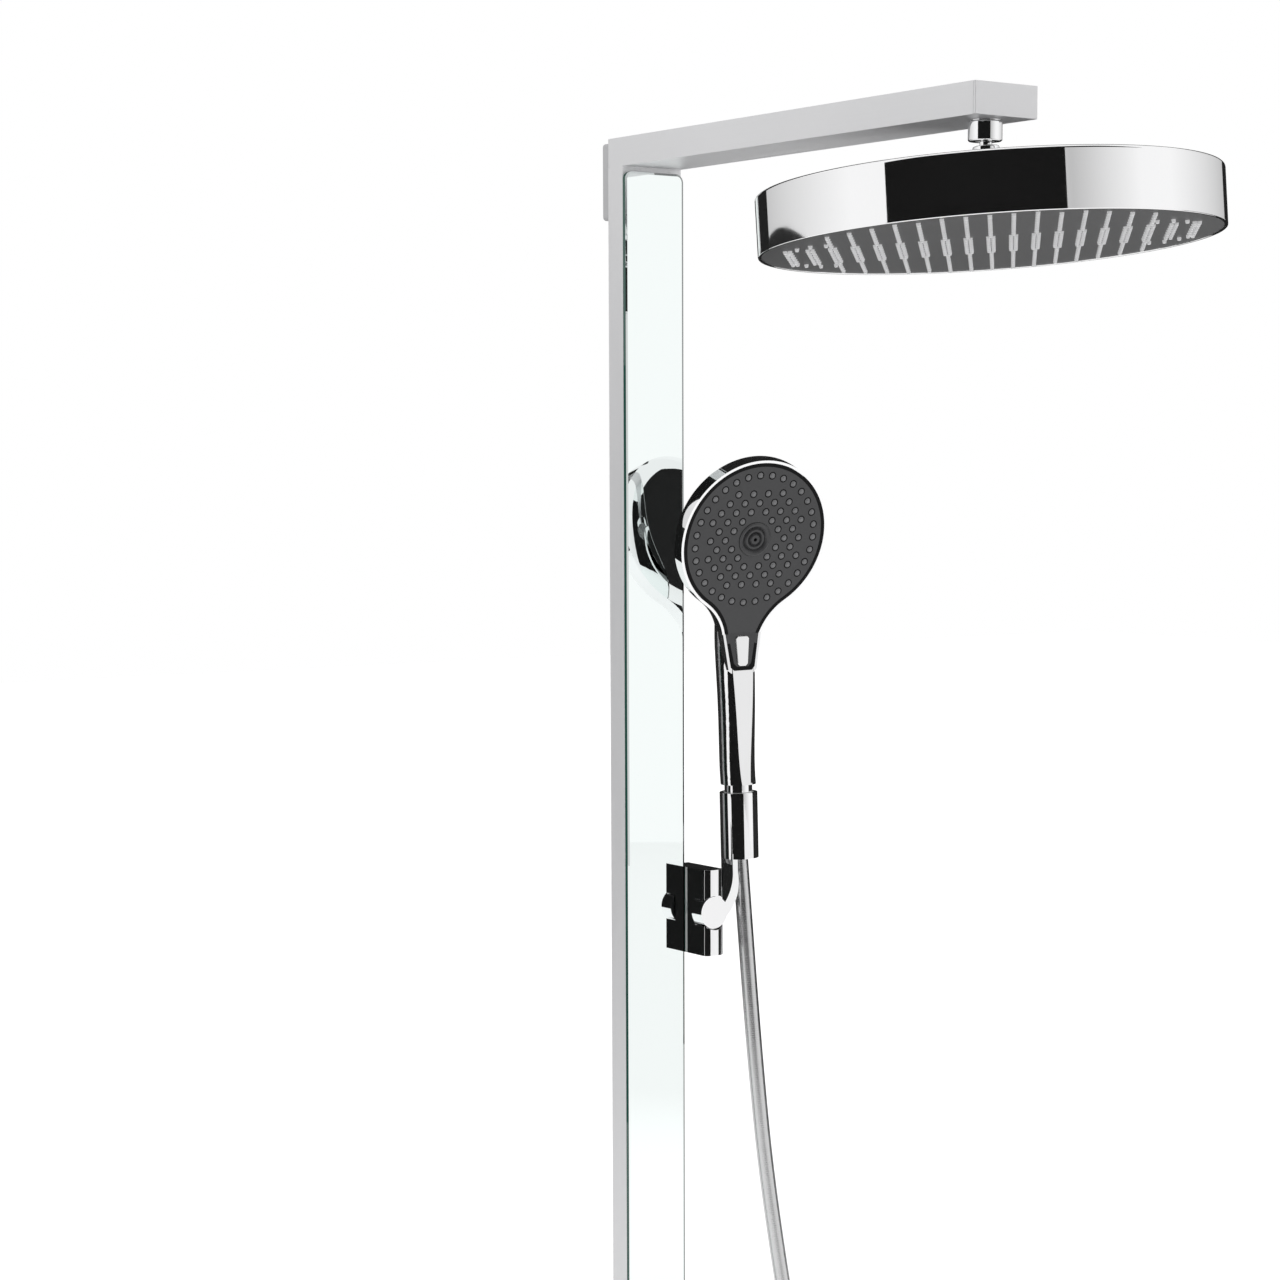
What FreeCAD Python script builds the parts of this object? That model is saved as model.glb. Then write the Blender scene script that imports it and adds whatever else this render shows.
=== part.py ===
import FreeCAD, Part
import math
import os
import Sketcher

# Shower panel column. Millimetres. The wall is the plane y = 0 and the column stands in front of it,
# towards -Y. Z is up and X points right for a person who faces the wall. The origin is midway
# between the two wall inlets, on the wall.

SIZES = [
    ("column_width", 60, "profile, glass and arm, side to side"),
    ("profile_depth", 21.3, "aluminium profile, front to back"),
    ("profile_wall", 2, "wall of the profile"),
    ("wall_gap", 11, "wall to the back of the profile"),
    ("column_top", 1130, "top of the arm above the wall inlets"),
    ("slot_opening", 5.6, "guide slot in the right side of the profile"),
    ("slot_cavity", 11, "guide slot behind its lips"),
    ("slot_depth", 5, "guide slot behind its lips, into the profile"),
    ("glass_thickness", 4, "mirror glass"),
    ("glass_inset", 0.1, "glass edge inside the profile's side, both sides together"),
    ("glass_gap_top", 4.5, "glass to the underside of the arm"),
    ("glass_gap_foot", 2, "glass to the mixer casing"),
    ("glass_corner", 7, "rounded top corners of the glass"),
    ("arm_height", 23.7, "overhead arm, top to bottom"),
    ("arm_length", 464, "overhead arm from the back of the profile to its end"),
    ("arm_wall", 2.2, "wall of the arm's tube"),
    ("cap_plate", 2.4, "plate of an arm end cap"),
    ("cap_rim", 6, "plug of the arm's front cap"),
    ("rear_cap_rim", 2, "plug of the arm's rear cap"),
    ("cap_rim_wall", 1.6, "wall of that plug"),
    ("ball_setback", 23, "ball joint behind the end of the arm"),
    ("ball_drop", 32, "centre of the ball below the top of the arm"),
    ("ball_radius", 8, "ball of the ball joint"),
    ("ball_clearance", 0.05, "ball in its seat ring, and ring in its housing"),
    ("seat_thickness", 1.6, "wall of the ball's seat ring"),
    ("ball_nut_radius", 12.5, "locking nut of the ball joint"),
    ("ball_nut_wall", 1.9, "wall of that nut round the cup"),
    ("ball_nut_above", 7, "locking nut above the ball's centre"),
    ("ball_nut_below", 7.4, "locking nut below the ball's centre"),
    ("ball_mouth", 7, "radius of the hole that the ball's stem comes out of"),
    ("cup_collar_radius", 11.6, "collar of the ball cup under the arm"),
    ("cup_stud_radius", 6, "threaded stud of the ball cup in the arm"),
    ("thread_clearance", 0.1, "screwed joints, drawn as plain cylinders"),
    ("stem_radius", 4.6, "stem below the ball"),
    ("stem_flange_radius", 7, "swivel flange at the end of the stem"),
    ("stem_flange_height", 3, "swivel flange, top to bottom"),
    ("swivel_drop", 13, "swivel flange below the ball's centre"),
    ("swivel_clearance", 0.08, "swivel flange in its nut"),
    ("swivel_lip", 2, "lip of the swivel nut over the flange"),
    ("swivel_nut_radius", 9.75, "swivel nut on the overhead shower"),
    ("swivel_nut_length", 15, "swivel nut, top to bottom"),
    ("spigot_radius", 8.1, "threaded spigot of the overhead housing"),
    ("water_bore", 3.5, "radius of the waterway in the ball joint"),
    ("head_radius", 170, "overhead shower"),
    ("head_height", 43.3, "overhead shower, rim to back"),
    ("head_drop", 81.5, "lower rim of the overhead shower below the ball, along its axis"),
    ("head_wall", 2.6, "wall of the overhead housing"),
    ("head_edge", 1.5, "chamfer at the back edge of the overhead housing"),
    ("head_cone_radius", 34, "raised middle of the back of the overhead housing"),
    ("head_cone_height", 4, "raised middle of the back of the overhead housing"),
    ("head_lip", 0.8, "rim of the overhead housing below its face plate"),
    ("head_plate", 3, "overhead face plate"),
    ("head_plate_gap", 0.2, "face plate in the rim"),
    ("chamber_inset", 7, "water chamber inside the rim of the overhead shower"),
    ("chamber_height", 12, "water chamber above the overhead face plate"),
    ("chamber_wall", 2, "wall of the water chamber"),
    ("head_tilt", 4.36, "overhead shower raised at its front edge, degrees"),
    ("head_roll", 0.91, "overhead shower raised at its right edge, degrees"),
    ("nozzle_pitch", 16.2, "between the nozzle rows of the overhead shower"),
    ("nozzle_step", 12.8, "between the nozzles of one row"),
    ("nozzle_pair", 3.6, "between the two nozzles of a pair"),
    ("nozzle_pairs", 39, "how far the pairs reach from the middle of a row"),
    ("nozzle_turn", 47.8, "direction of the nozzle rows from +X, degrees"),
    ("nozzle_margin", 12, "overhead nozzle field inside the rim"),
    ("nozzle_radius", 1.5, "overhead nozzle at its root"),
    ("nozzle_tip", 1, "overhead nozzle at its tip"),
    ("nozzle_height", 2.4, "overhead nozzle below the face plate"),
    ("bracket_height", 64, "upper wall bracket"),
    ("bracket_inset", 2, "wall brackets inside the profile's sides"),
    ("bracket_top", 3, "upper wall bracket below the top of the arm"),
    ("bracket_wall", 3, "wall of a bracket"),
    ("bracket_corner", 3, "rounded corners of a bracket"),
    ("bracket_hole_radius", 2.75, "screw holes of a bracket"),
    ("bracket_hole_spacing", 36, "screw holes of the upper bracket, one above the other"),
    ("foot_bracket_height", 36, "lower wall bracket"),
    ("foot_bracket_level", 96, "middle of the lower wall bracket above the inlets"),
    ("clamp_screw_radius", 2, "clamp screws through the profile's back"),
    ("clamp_screw_head", 3.6, "head of a clamp screw"),
    ("riser_radius", 6, "riser pipe in the profile"),
    ("riser_wall", 1, "wall of the water pipes"),
    ("riser_shift", 1.5, "riser pipe in front of the middle of the profile"),
    ("riser_hole", 7, "hole for the riser in the arm"),
    ("arm_pipe_radius", 6, "water pipe in the arm"),
    ("pipe_socket", 8, "how far a pipe goes into its fitting"),
    ("arm_pipe_socket", 5, "how far the arm's pipe goes into its fittings"),
    ("pipe_clearance", 0.1, "pipe in its fitting"),
    ("elbow_width", 24, "elbow fitting at the head of the riser"),
    ("casing_width", 212, "mixer casing"),
    ("casing_height", 60, "mixer casing"),
    ("casing_depth", 70, "mixer casing"),
    ("casing_back", 2, "mixer casing to the wall"),
    ("casing_wall", 2.5, "wall of the mixer casing"),
    ("casing_corner", 6, "rounded edges of the mixer casing"),
    ("inlet_spacing", 150, "between the two wall inlets"),
    ("union_radius", 10.48, "thread of a wall union"),
    ("union_bore", 7.5, "bore of a wall union"),
    ("union_reach", 14, "wall union into the wall"),
    ("union_collar", 12.5, "collar of a wall union against the wall"),
    ("union_collar_length", 5, "collar of a wall union, along its axis"),
    ("union_face", 20, "wall to the joint between a union and the mixer"),
    ("nut_radius", 15, "union nut"),
    ("nut_length", 13, "union nut"),
    ("mixer_axis", 38, "wall to the mixer's axis"),
    ("mixer_radius", 16, "bar of the mixer's inner body"),
    ("mixer_end", 1, "bar of the mixer's inner body beyond its inlet bosses"),
    ("cartridge_radius", 11.5, "cartridges in the mixer's body"),
    ("cartridge_length", 46, "cartridges in the mixer's body"),
    ("cartridge_clearance", 0.1, "cartridge in its bore"),
    ("spindle_radius", 4, "spindle of a cartridge"),
    ("spindle_length", 30, "spindle of a cartridge outside the body"),
    ("knob_radius", 23, "mixer knobs"),
    ("knob_length", 42, "mixer knobs"),
    ("knob_gap", 0.8, "knob to the casing's end"),
    ("knob_wall", 3, "wall of a knob"),
    ("knob_bevel", 1.5, "bevel at the outer edge of a knob"),
    ("stop_radius", 5, "stop button in a knob"),
    ("stop_length", 14, "stop button"),
    ("stop_proud", 2, "stop button outside the knob"),
    ("stop_travel", 1.5, "travel of a stop button"),
    ("button_clearance", 0.08, "stop button in its hole"),
    ("outlet_offset", 42, "hose outlet left of the middle"),
    ("outlet_length", 14, "hose outlet below the casing"),
    ("outlet_socket", 13, "hose outlet in the mixer's body"),
    ("outlet_radius", 9, "hose outlet"),
    ("hose_radius", 7, "shower hose"),
    ("hose_bore", 5, "bore of the shower hose"),
    ("hose_socket", 5, "depth of the sockets that hold the hose's ends"),
    ("hose_play", 0.6, "hose in those sockets"),
    ("hose_split", 430, "where the hose's upper run begins, above the inlets"),
    ("hose_nut_radius", 11.5, "nut of the hose on the outlet"),
    ("hose_nut_length", 26, "nut of the hose on the outlet"),
    ("slider_gap", 0.4, "slider block to the column's side"),
    ("slider_width", 19.6, "slider block, side to side"),
    ("slider_front", 32.3, "slider block in front of the glass"),
    ("slider_crown", 14.5, "radius of the slider block's curved front"),
    ("slider_height", 75, "slider block, top to bottom"),
    ("slider_level", 472, "slider's pivot above the inlets"),
    ("slider_round", 1, "rounded front edges of the slider block"),
    ("slide_clearance", 0.1, "slider glide in its slot"),
    ("pivot_radius", 14, "round end of the holder"),
    ("pivot_length", 14, "round end of the holder"),
    ("pivot_setback", 2.6, "round end of the holder behind the block's foremost line"),
    ("pivot_gap", 1, "round end of the holder in the block's recess"),
    ("pin_radius", 4, "pivot pin of the holder"),
    ("pin_clearance", 0.05, "pins and spindles in their bores"),
    ("sleeve_offset", 35.4, "holder sleeve right of the pivot"),
    ("sleeve_back", 9, "holder sleeve's axis behind the holder's front face"),
    ("sleeve_radius", 16.5, "holder sleeve"),
    ("sleeve_low", 44, "lower end of the sleeve above the pivot"),
    ("sleeve_height", 57.5, "holder sleeve"),
    ("sleeve_bore_top", 13.2, "bore of the sleeve at its top"),
    ("sleeve_bore_low", 11.6, "bore of the sleeve at its lower end"),
    ("liner_wall", 1, "plastic liner in the sleeve"),
    ("hook_width", 5.4, "hook of the holder in front view, at the sleeve"),
    ("hook_inset", 14.5, "inner side of the hook left of the sleeve's axis"),
    ("hook_straight", 12, "straight part of the hook below the sleeve"),
    ("hook_bend", 38, "outer radius of the hook"),
    ("hook_inner_bend", 40, "inner radius of the hook"),
    ("hook_depth", 17, "hook at the sleeve, front to back"),
    ("hook_root", 2.6, "hook at the round end, front to back"),
    ("hook_back_bend", 48, "curve of the hook's back edge"),
    ("holder_lean", 1.5, "holder turned to the left, degrees"),
    ("hand_turn", 7.8, "hand shower turned to the left, degrees"),
    ("hand_pitch", 17.7, "hand shower's face tilted down, degrees"),
    ("hand_rise", 213, "middle of the hand shower's face above the handle's end"),
    ("hand_reach", 38, "middle of the hand shower's face in front of the handle's axis"),
    ("hand_radius", 70, "hand shower's head"),
    ("hand_rim", 13, "straight side of the hand shower's head"),
    ("hand_dome", 13, "domed back of the hand shower's head"),
    ("hand_dome_edge", 22, "curved edge of the domed back"),
    ("hand_wall", 2.2, "wall of the hand shower's head"),
    ("hand_lip", 2.2, "bright rim round the hand shower's face plate"),
    ("handle_radius", 15.4, "handle at its end"),
    ("neck_radius", 12.1, "neck between the handle and the sleeve"),
    ("neck_height", 7, "neck between the handle and the sleeve"),
    ("cone_clearance", 0.1, "hand shower's cone in the liner"),
    ("connector_thread", 9.5, "threads of the handle's connector"),
    ("connector_depth", 16, "connector in the handle"),
    ("hand_pipe_radius", 4.2, "water pipe in the handle"),
    ("hand_pipe_front", 2, "water pipe in front of the handle's axis"),
    ("hand_pipe_top", 146, "upper end of that pipe above the handle's end"),
    ("neck_level", 131, "where the front plate bends on to the handle"),
    ("neck_front", 12.2, "front plate on the handle in front of the handle's axis"),
    ("neck_foot", 86, "where the front plate bends below the middle of the face"),
    ("flank_radius", 52, "hollow flanks between the round face and the handle"),
    ("flank_angle", 33.9, "where those flanks leave the round face, from straight down, degrees"),
    ("neck_tip_half", 11.5, "front plate's half width at its lower end"),
    ("neck_length", 31, "front plate below its bend"),
    ("button_well", 3.2, "room behind the selector button"),
    ("button_proud", 0.9, "selector button in front of its plate"),
    ("button_gap", 0.2, "selector button in its window"),
    ("face_plate", 2.4, "hand shower's face plate"),
    ("plate_gap", 0.3, "face plate in the rim"),
    ("button_width", 13.6, "selector button, side to side"),
    ("button_height", 26, "selector button, top to bottom"),
    ("button_travel", 1.2, "travel of the selector button"),
    ("hand_nozzle_pitch", 14.3, "between the hand shower's nozzles along a row"),
    ("hand_nozzle_row", 8.1, "between the rows of the hand shower's nozzles"),
    ("hand_nozzle_field", 57, "radius of the hand shower's nozzle field"),
    ("hand_nozzle_radius", 2.6, "nozzle of the hand shower at its root"),
    ("hand_nozzle_tip", 1.9, "nozzle of the hand shower at its tip"),
    ("hand_nozzle_height", 1.6, "nozzle of the hand shower"),
    ("jet_radius", 15, "middle jet of the hand shower"),
]

DOC = FreeCAD.newDocument("shower_column")
SHEET = DOC.addObject("Spreadsheet::Sheet", "sizes")
PARTS = []


class Size:
    """A length with the expression that ties it to the sheet."""

    def __init__(self, text, value):
        self.text = text
        self.value = value

    def join(self, other, sign, value):
        return Size("(" + self.text + " " + sign + " " + as_size(other).text + ")", value)

    def __add__(self, other):
        return self.join(other, "+", self.value + as_size(other).value)

    def __sub__(self, other):
        return self.join(other, "-", self.value - as_size(other).value)

    def __mul__(self, other):
        return self.join(other, "*", self.value * as_size(other).value)

    def __truediv__(self, other):
        return self.join(other, "/", self.value / as_size(other).value)

    def __radd__(self, other):
        return as_size(other) + self

    def __rsub__(self, other):
        return as_size(other) - self

    def __rmul__(self, other):
        return as_size(other) * self

    def __neg__(self):
        return Size("(0 - " + self.text + ")", -self.value)


def as_size(number):
    if isinstance(number, Size):
        return number
    return Size(repr(float(number)), float(number))


def cosine(angle):
    angle = as_size(angle)
    return Size("cos(" + angle.text + " * 1deg)", math.cos(math.radians(angle.value)))


def sine(angle):
    angle = as_size(angle)
    return Size("sin(" + angle.text + " * 1deg)", math.sin(math.radians(angle.value)))


class Sizes:
    """The sheet's sizes by name."""


S = Sizes()
for row, (name, value, note) in enumerate(SIZES, start=1):
    SHEET.set("A%d" % row, name.replace("_", " "))
    SHEET.set("B%d" % row, repr(value))
    SHEET.set("C%d" % row, note)
    SHEET.setAlias("B%d" % row, name)
    setattr(S, name, Size("sizes." + name, float(value)))
DOC.recompute()


def tie(thing, field, size):
    """Binds a property to the sheet, with its value set at once."""
    thing.setExpression(field, as_size(size).text)


def new_body(label):
    body = DOC.addObject("PartDesign::Body", label)
    body.Label = label
    PARTS.append(body)
    return body


def plane(body, role):
    return [feature for feature in body.Origin.OriginFeatures if feature.Role == role][0]


def new_sketch(body, role, lift=0, pitch=None, base=None):
    """A sketch on one of the body's own planes, lifted along its normal, or turned about its X."""
    sketch = body.newObject("Sketcher::SketchObject", body.Label + "_outline")
    sketch.AttachmentSupport = [(plane(body, role), "")]
    sketch.MapMode = "FlatFace"
    if pitch is not None:
        turn = FreeCAD.Rotation(FreeCAD.Vector(1, 0, 0), pitch)
        sketch.AttachmentOffset = FreeCAD.Placement(FreeCAD.Vector(0, 0, 0), turn)
    if base is not None:
        for axis, size in zip("xyz", base):
            tie(sketch, "AttachmentOffset.Base." + axis, size)
    else:
        tie(sketch, "AttachmentOffset.Base.z", lift)
    return sketch


def bind(sketch, constraint, size):
    number = sketch.addConstraint(constraint)
    sketch.setExpression("Constraints[%d]" % number, as_size(size).text)


def arc_between(start, end, radius, left):
    """The arc of less than a half turn from start to end, with its centre to the left or right."""
    half = (end - start) / 2
    away = math.sqrt(radius ** 2 - half.Length ** 2)
    side = FreeCAD.Vector(-half.y, half.x, 0).normalize() * (away if left else -away)
    centre = start + half + side
    angles = [math.atan2(spot.y - centre.y, spot.x - centre.x) for spot in (start, end)]
    if not left:
        angles.reverse()
    ring = Part.Circle(centre, FreeCAD.Vector(0, 0, 1), radius)
    return Part.ArcOfCircle(ring, angles[0], angles[1])


def outline(sketch, corners):
    """A closed outline. Each corner is held by two sizes; a third is the radius of the arc that
    leaves it, positive where the arc's centre lies to the left of its way and negative to the right."""
    corners = [[as_size(size) for size in corner] for corner in corners]
    spots = [FreeCAD.Vector(corner[0].value, corner[1].value, 0) for corner in corners]
    count = len(corners)
    ends = []
    for k, corner in enumerate(corners):
        start, end = spots[k], spots[(k + 1) % count]
        if len(corner) == 2:
            number = sketch.addGeometry(Part.LineSegment(start, end), False)
            ends.append((number, 1, 2))
            continue
        radius = abs(corner[2].value)
        left = corner[2].value > 0
        number = sketch.addGeometry(arc_between(start, end, radius, left), False)
        ends.append((number, 1, 2) if left else (number, 2, 1))
        size = corner[2] if left else -corner[2]
        bind(sketch, Sketcher.Constraint("Radius", number, radius), size)
    for k in range(count):
        number, first, last = ends[k]
        after, after_first, _ = ends[(k + 1) % count]
        sketch.addConstraint(Sketcher.Constraint("Coincident", number, last, after, after_first))
        for kind, size in zip(("DistanceX", "DistanceY"), corners[k]):
            bind(sketch, Sketcher.Constraint(kind, -1, 1, number, first, size.value), size)
    return sketch


def rectangle(sketch, left, right, low, high):
    return outline(sketch, [(left, low), (right, low), (right, high), (left, high)])


def circle(sketch, across, along, radius):
    across, along, radius = as_size(across), as_size(along), as_size(radius)
    centre = FreeCAD.Vector(across.value, along.value, 0)
    normal = FreeCAD.Vector(0, 0, 1)
    number = sketch.addGeometry(Part.Circle(centre, normal, radius.value), False)
    bind(sketch, Sketcher.Constraint("DistanceX", -1, 1, number, 3, across.value), across)
    bind(sketch, Sketcher.Constraint("DistanceY", -1, 1, number, 3, along.value), along)
    bind(sketch, Sketcher.Constraint("Radius", number, radius.value), radius)
    return sketch


def volume(body):
    DOC.recompute()
    return body.Shape.Volume


def feature(body, kind, sketch, **fields):
    """Adds a PartDesign feature; numbers among its fields are sizes."""
    made = body.newObject("PartDesign::" + kind, body.Label + "_" + kind.lower())
    made.Profile = sketch
    for field, value in fields.items():
        if isinstance(value, (Size, int, float)) and not isinstance(value, bool):
            tie(made, field, value)
        else:
            setattr(made, field, value)
    sketch.Visibility = False
    return made


def pad(body, sketch, length, **fields):
    made = feature(body, "Pad", sketch, Length=as_size(length), **fields)
    volume(body)
    return made


def pocket(body, sketch, length=None, **fields):
    """A pocket that must take material away."""
    before = volume(body)
    if length is None:
        made = feature(body, "Pocket", sketch, Type="ThroughAll", Midplane=True, **fields)
    else:
        made = feature(body, "Pocket", sketch, Length=as_size(length), **fields)
    if volume(body) > before - 1e-6:
        raise RuntimeError(body.Label + ": a pocket cuts nothing")
    return made


def turned(body, kind, sketch, axis="V_Axis"):
    """A revolution or a groove about the sketch's own vertical or horizontal axis."""
    before = volume(body) if kind == "Groove" else 0
    made = body.newObject("PartDesign::" + kind, body.Label + "_" + kind.lower())
    made.Profile = sketch
    made.ReferenceAxis = (sketch, [axis])
    made.Angle = 360
    sketch.Visibility = False
    after = volume(body)
    if kind == "Groove" and after > before - 1e-6:
        raise RuntimeError(body.Label + ": a groove cuts nothing")
    return made


def dress(body, kind, size, wanted):
    """A fillet or chamfer on the edges that the test wants."""
    volume(body)
    tip = body.Tip
    names = []
    for number, edge in enumerate(tip.Shape.Edges, start=1):
        if wanted(edge):
            names.append("Edge%d" % number)
    if not names:
        raise RuntimeError(body.Label + ": no edge to " + kind)
    made = body.newObject("PartDesign::" + kind, body.Label + "_" + kind.lower())
    made.Base = (tip, names)
    tie(made, "Radius" if kind == "Fillet" else "Size", size)
    volume(body)
    return made


def along(edge, axis):
    """True for a straight edge that runs along an axis, 0 to 2."""
    if len(edge.Vertexes) != 2 or not isinstance(edge.Curve, (Part.Line, Part.LineSegment)):
        return False
    step = edge.Vertexes[1].Point - edge.Vertexes[0].Point
    return all(abs(step[k]) < 1e-6 for k in range(3) if k != axis)


def step(x, y, z, *turns):
    """One placement of a chain: a place, then turns about axes through it, in degrees."""
    text = "create(<<rotation>>; create(<<vector>>; 0; 0; 1); 0)"
    for axis, angle in turns:
        spin = "create(<<rotation>>; create(<<vector>>; %d; %d; %d); %s)"
        text += " * " + spin % (*axis, as_size(angle).text)
    spot = "create(<<vector>>; %s; %s; %s)" % tuple(as_size(v).text for v in (x, y, z))
    return "create(<<placement>>; " + spot + "; " + text + ")"


def placed(thing, *steps):
    """Ties a sub-part's place to the sheet: each step is in the frame of the one before."""
    thing.setExpression("Placement", " * ".join(steps))
    DOC.recompute()
    return thing


def revolved(label, points, *steps):
    """A turned piece: its outline holds radius and height, and it turns about its own Z."""
    body = new_body(label)
    turned(body, "Revolution", outline(new_sketch(body, "XZ_Plane"), points))
    return placed(body, *steps)


def tube(label, role, across, along_size, outer, inner, low, length, **fields):
    """A straight pipe or a rod, along the normal of one of the three planes."""
    body = new_body(label)
    sketch = new_sketch(body, role, low)
    circle(sketch, across, along_size, outer)
    if inner is not None:
        circle(sketch, across, along_size, inner)
    pad(body, sketch, length, **fields)
    return body


def compound_part(label, shapes, place):
    """Equal small pieces that share a node, each a solid of its own."""
    made = DOC.addObject("Part::Feature", label)
    made.Label = label
    made.Shape = Part.makeCompound(shapes)
    made.Placement = place
    PARTS.append(made)
    return made


# ---------------------------------------------------------------- shared levels

PROFILE_BACK = -S.wall_gap
PROFILE_FRONT = PROFILE_BACK - S.profile_depth
PROFILE_MIDDLE = (PROFILE_BACK + PROFILE_FRONT) / 2
GLASS_FRONT = PROFILE_FRONT - S.glass_thickness
HALF = S.column_width / 2
ARM_TOP = S.column_top
ARM_LOW = ARM_TOP - S.arm_height
ARM_MIDDLE = (ARM_TOP + ARM_LOW) / 2
ARM_END = PROFILE_BACK - S.arm_length
BALL_Y = ARM_END + S.ball_setback
BALL_Z = ARM_TOP - S.ball_drop
CASING_TOP = S.casing_height / 2
CASING_FRONT = -S.casing_back - S.casing_depth
MIXER_Y = -S.mixer_axis
MIXER_HALF = S.inlet_spacing / 2 + S.union_radius + S.mixer_end
RISER_Y = PROFILE_MIDDLE - S.riser_shift
SLOT_FLOOR = HALF - S.profile_wall - S.slot_depth
UP = (0, 0, 1)
ALONG_X = (1, 0, 0)
ALONG_Y = (0, 1, 0)
BALL_STEP = step(0, BALL_Y, BALL_Z)
SEAT_STEP = step(0, BALL_Y, BALL_Z, (ALONG_X, -S.head_tilt))
HEAD_STEP = step(0, BALL_Y, BALL_Z, (ALONG_X, -S.head_tilt), (ALONG_Y, -S.head_roll))
BLOCK_LEFT = HALF + S.slider_gap
BLOCK_RIGHT = BLOCK_LEFT + S.slider_width
BLOCK_FRONT = GLASS_FRONT - S.slider_front
PIVOT_X = (BLOCK_LEFT + BLOCK_RIGHT) / 2
HOLDER_FRONT = BLOCK_FRONT + S.pivot_setback
HOLDER_STEP = step(PIVOT_X, HOLDER_FRONT, S.slider_level, (ALONG_Y, -S.holder_lean))
SLEEVE_TOP = S.sleeve_low + S.sleeve_height
SLEEVE_STEP = step(S.sleeve_offset, S.sleeve_back, 0)
HAND_STEP = step(S.sleeve_offset, S.sleeve_back, SLEEVE_TOP + S.neck_height, (UP, -S.hand_turn))
FACE_STEP = step(0, -S.hand_reach, S.hand_rise, (ALONG_X, S.hand_pitch))


# ---------------------------------------------------------------- column

def column_profile():
    """Hollow section with one water chamber and a T-slot in its right side."""
    body = new_body("column_profile")
    sketch = new_sketch(body, "XY_Plane", CASING_TOP)
    lip_back = PROFILE_MIDDLE + S.slot_opening / 2
    lip_front = PROFILE_MIDDLE - S.slot_opening / 2
    deep_back = PROFILE_MIDDLE + S.slot_cavity / 2
    deep_front = PROFILE_MIDDLE - S.slot_cavity / 2
    behind_lip = HALF - S.profile_wall
    outline(sketch, [
        (-HALF, PROFILE_BACK), (-HALF, PROFILE_FRONT), (HALF, PROFILE_FRONT),
        (HALF, lip_front), (behind_lip, lip_front), (behind_lip, deep_front),
        (SLOT_FLOOR, deep_front), (SLOT_FLOOR, deep_back), (behind_lip, deep_back),
        (behind_lip, lip_back), (HALF, lip_back), (HALF, PROFILE_BACK),
    ])
    rectangle(sketch, -HALF + S.profile_wall, SLOT_FLOOR - S.profile_wall,
              PROFILE_FRONT + S.profile_wall, PROFILE_BACK - S.profile_wall)
    pad(body, sketch, ARM_LOW - CASING_TOP)


def front_glass():
    body = new_body("front_glass")
    side = HALF - S.glass_inset / 2
    top = ARM_LOW - S.glass_gap_top
    sketch = new_sketch(body, "XZ_Plane", -PROFILE_FRONT)
    rectangle(sketch, -side, side, CASING_TOP + S.glass_gap_foot, top)
    pad(body, sketch, S.glass_thickness)
    high = top.value - 1e-3
    dress(body, "Fillet", S.glass_corner, lambda e: along(e, 1) and e.Vertexes[0].Z > high)


def bracket(label, low, height, screws):
    """Tray against the wall: a plate with a rim that meets the profile's back."""
    body = new_body(label)
    side = HALF - S.bracket_inset
    sketch = new_sketch(body, "XZ_Plane")
    rectangle(sketch, -side, side, low, low + height)
    pad(body, sketch, S.wall_gap)
    dress(body, "Fillet", S.bracket_corner, lambda e: along(e, 1))
    hollow = new_sketch(body, "XZ_Plane", S.wall_gap)
    rectangle(hollow, -side + S.bracket_wall, side - S.bracket_wall,
              low + S.bracket_wall, low + height - S.bracket_wall)
    pocket(body, hollow, S.wall_gap - S.bracket_wall)
    holes = new_sketch(body, "XZ_Plane")
    for across, level in screws:
        circle(holes, across, level, S.bracket_hole_radius)
    pocket(body, holes)


def wall_brackets():
    low = ARM_TOP - S.bracket_top - S.bracket_height
    middle = low + S.bracket_height / 2
    half = S.bracket_hole_spacing / 2
    bracket("upper_wall_bracket", low, S.bracket_height, [(0, middle - half), (0, middle + half)])
    low = S.foot_bracket_level - S.foot_bracket_height / 2
    bracket("lower_wall_bracket", low, S.foot_bracket_height,
            [(-half, S.foot_bracket_level), (half, S.foot_bracket_level)])


def front_caps():
    """The two caps that close the arm's tube, each with a plug that is open in the middle."""
    for label, face, inward in (("arm_end_cap", ARM_END, 1), ("arm_rear_cap", PROFILE_BACK, -1)):
        body = new_body(label)
        sketch = new_sketch(body, "XZ_Plane", -face)
        rectangle(sketch, -HALF, HALF, ARM_LOW, ARM_TOP)
        pad(body, sketch, S.cap_plate, Reversed=inward > 0)
        rim = new_sketch(body, "XZ_Plane", -face - inward * S.cap_plate)
        depth = S.cap_rim if inward > 0 else S.rear_cap_rim
        edge = S.arm_wall + S.thread_clearance
        inner = edge + S.cap_rim_wall
        rectangle(rim, -HALF + edge, HALF - edge, ARM_LOW + edge, ARM_TOP - edge)
        rectangle(rim, -HALF + inner, HALF - inner, ARM_LOW + inner, ARM_TOP - inner)
        pad(body, rim, depth, Reversed=inward > 0)


def overhead_arm():
    """Flat tube between its two caps, open below for the riser and the ball joint's stud."""
    body = new_body("overhead_arm")
    sketch = new_sketch(body, "XZ_Plane", -PROFILE_BACK + S.cap_plate)
    rectangle(sketch, -HALF, HALF, ARM_LOW, ARM_TOP)
    rectangle(sketch, -HALF + S.arm_wall, HALF - S.arm_wall,
              ARM_LOW + S.arm_wall, ARM_TOP - S.arm_wall)
    pad(body, sketch, S.arm_length - 2 * S.cap_plate)
    holes = new_sketch(body, "XY_Plane", ARM_LOW + S.arm_wall)
    circle(holes, 0, RISER_Y, S.riser_hole)
    circle(holes, 0, BALL_Y, S.cup_stud_radius + S.thread_clearance)
    pocket(body, holes, S.arm_wall)


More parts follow.
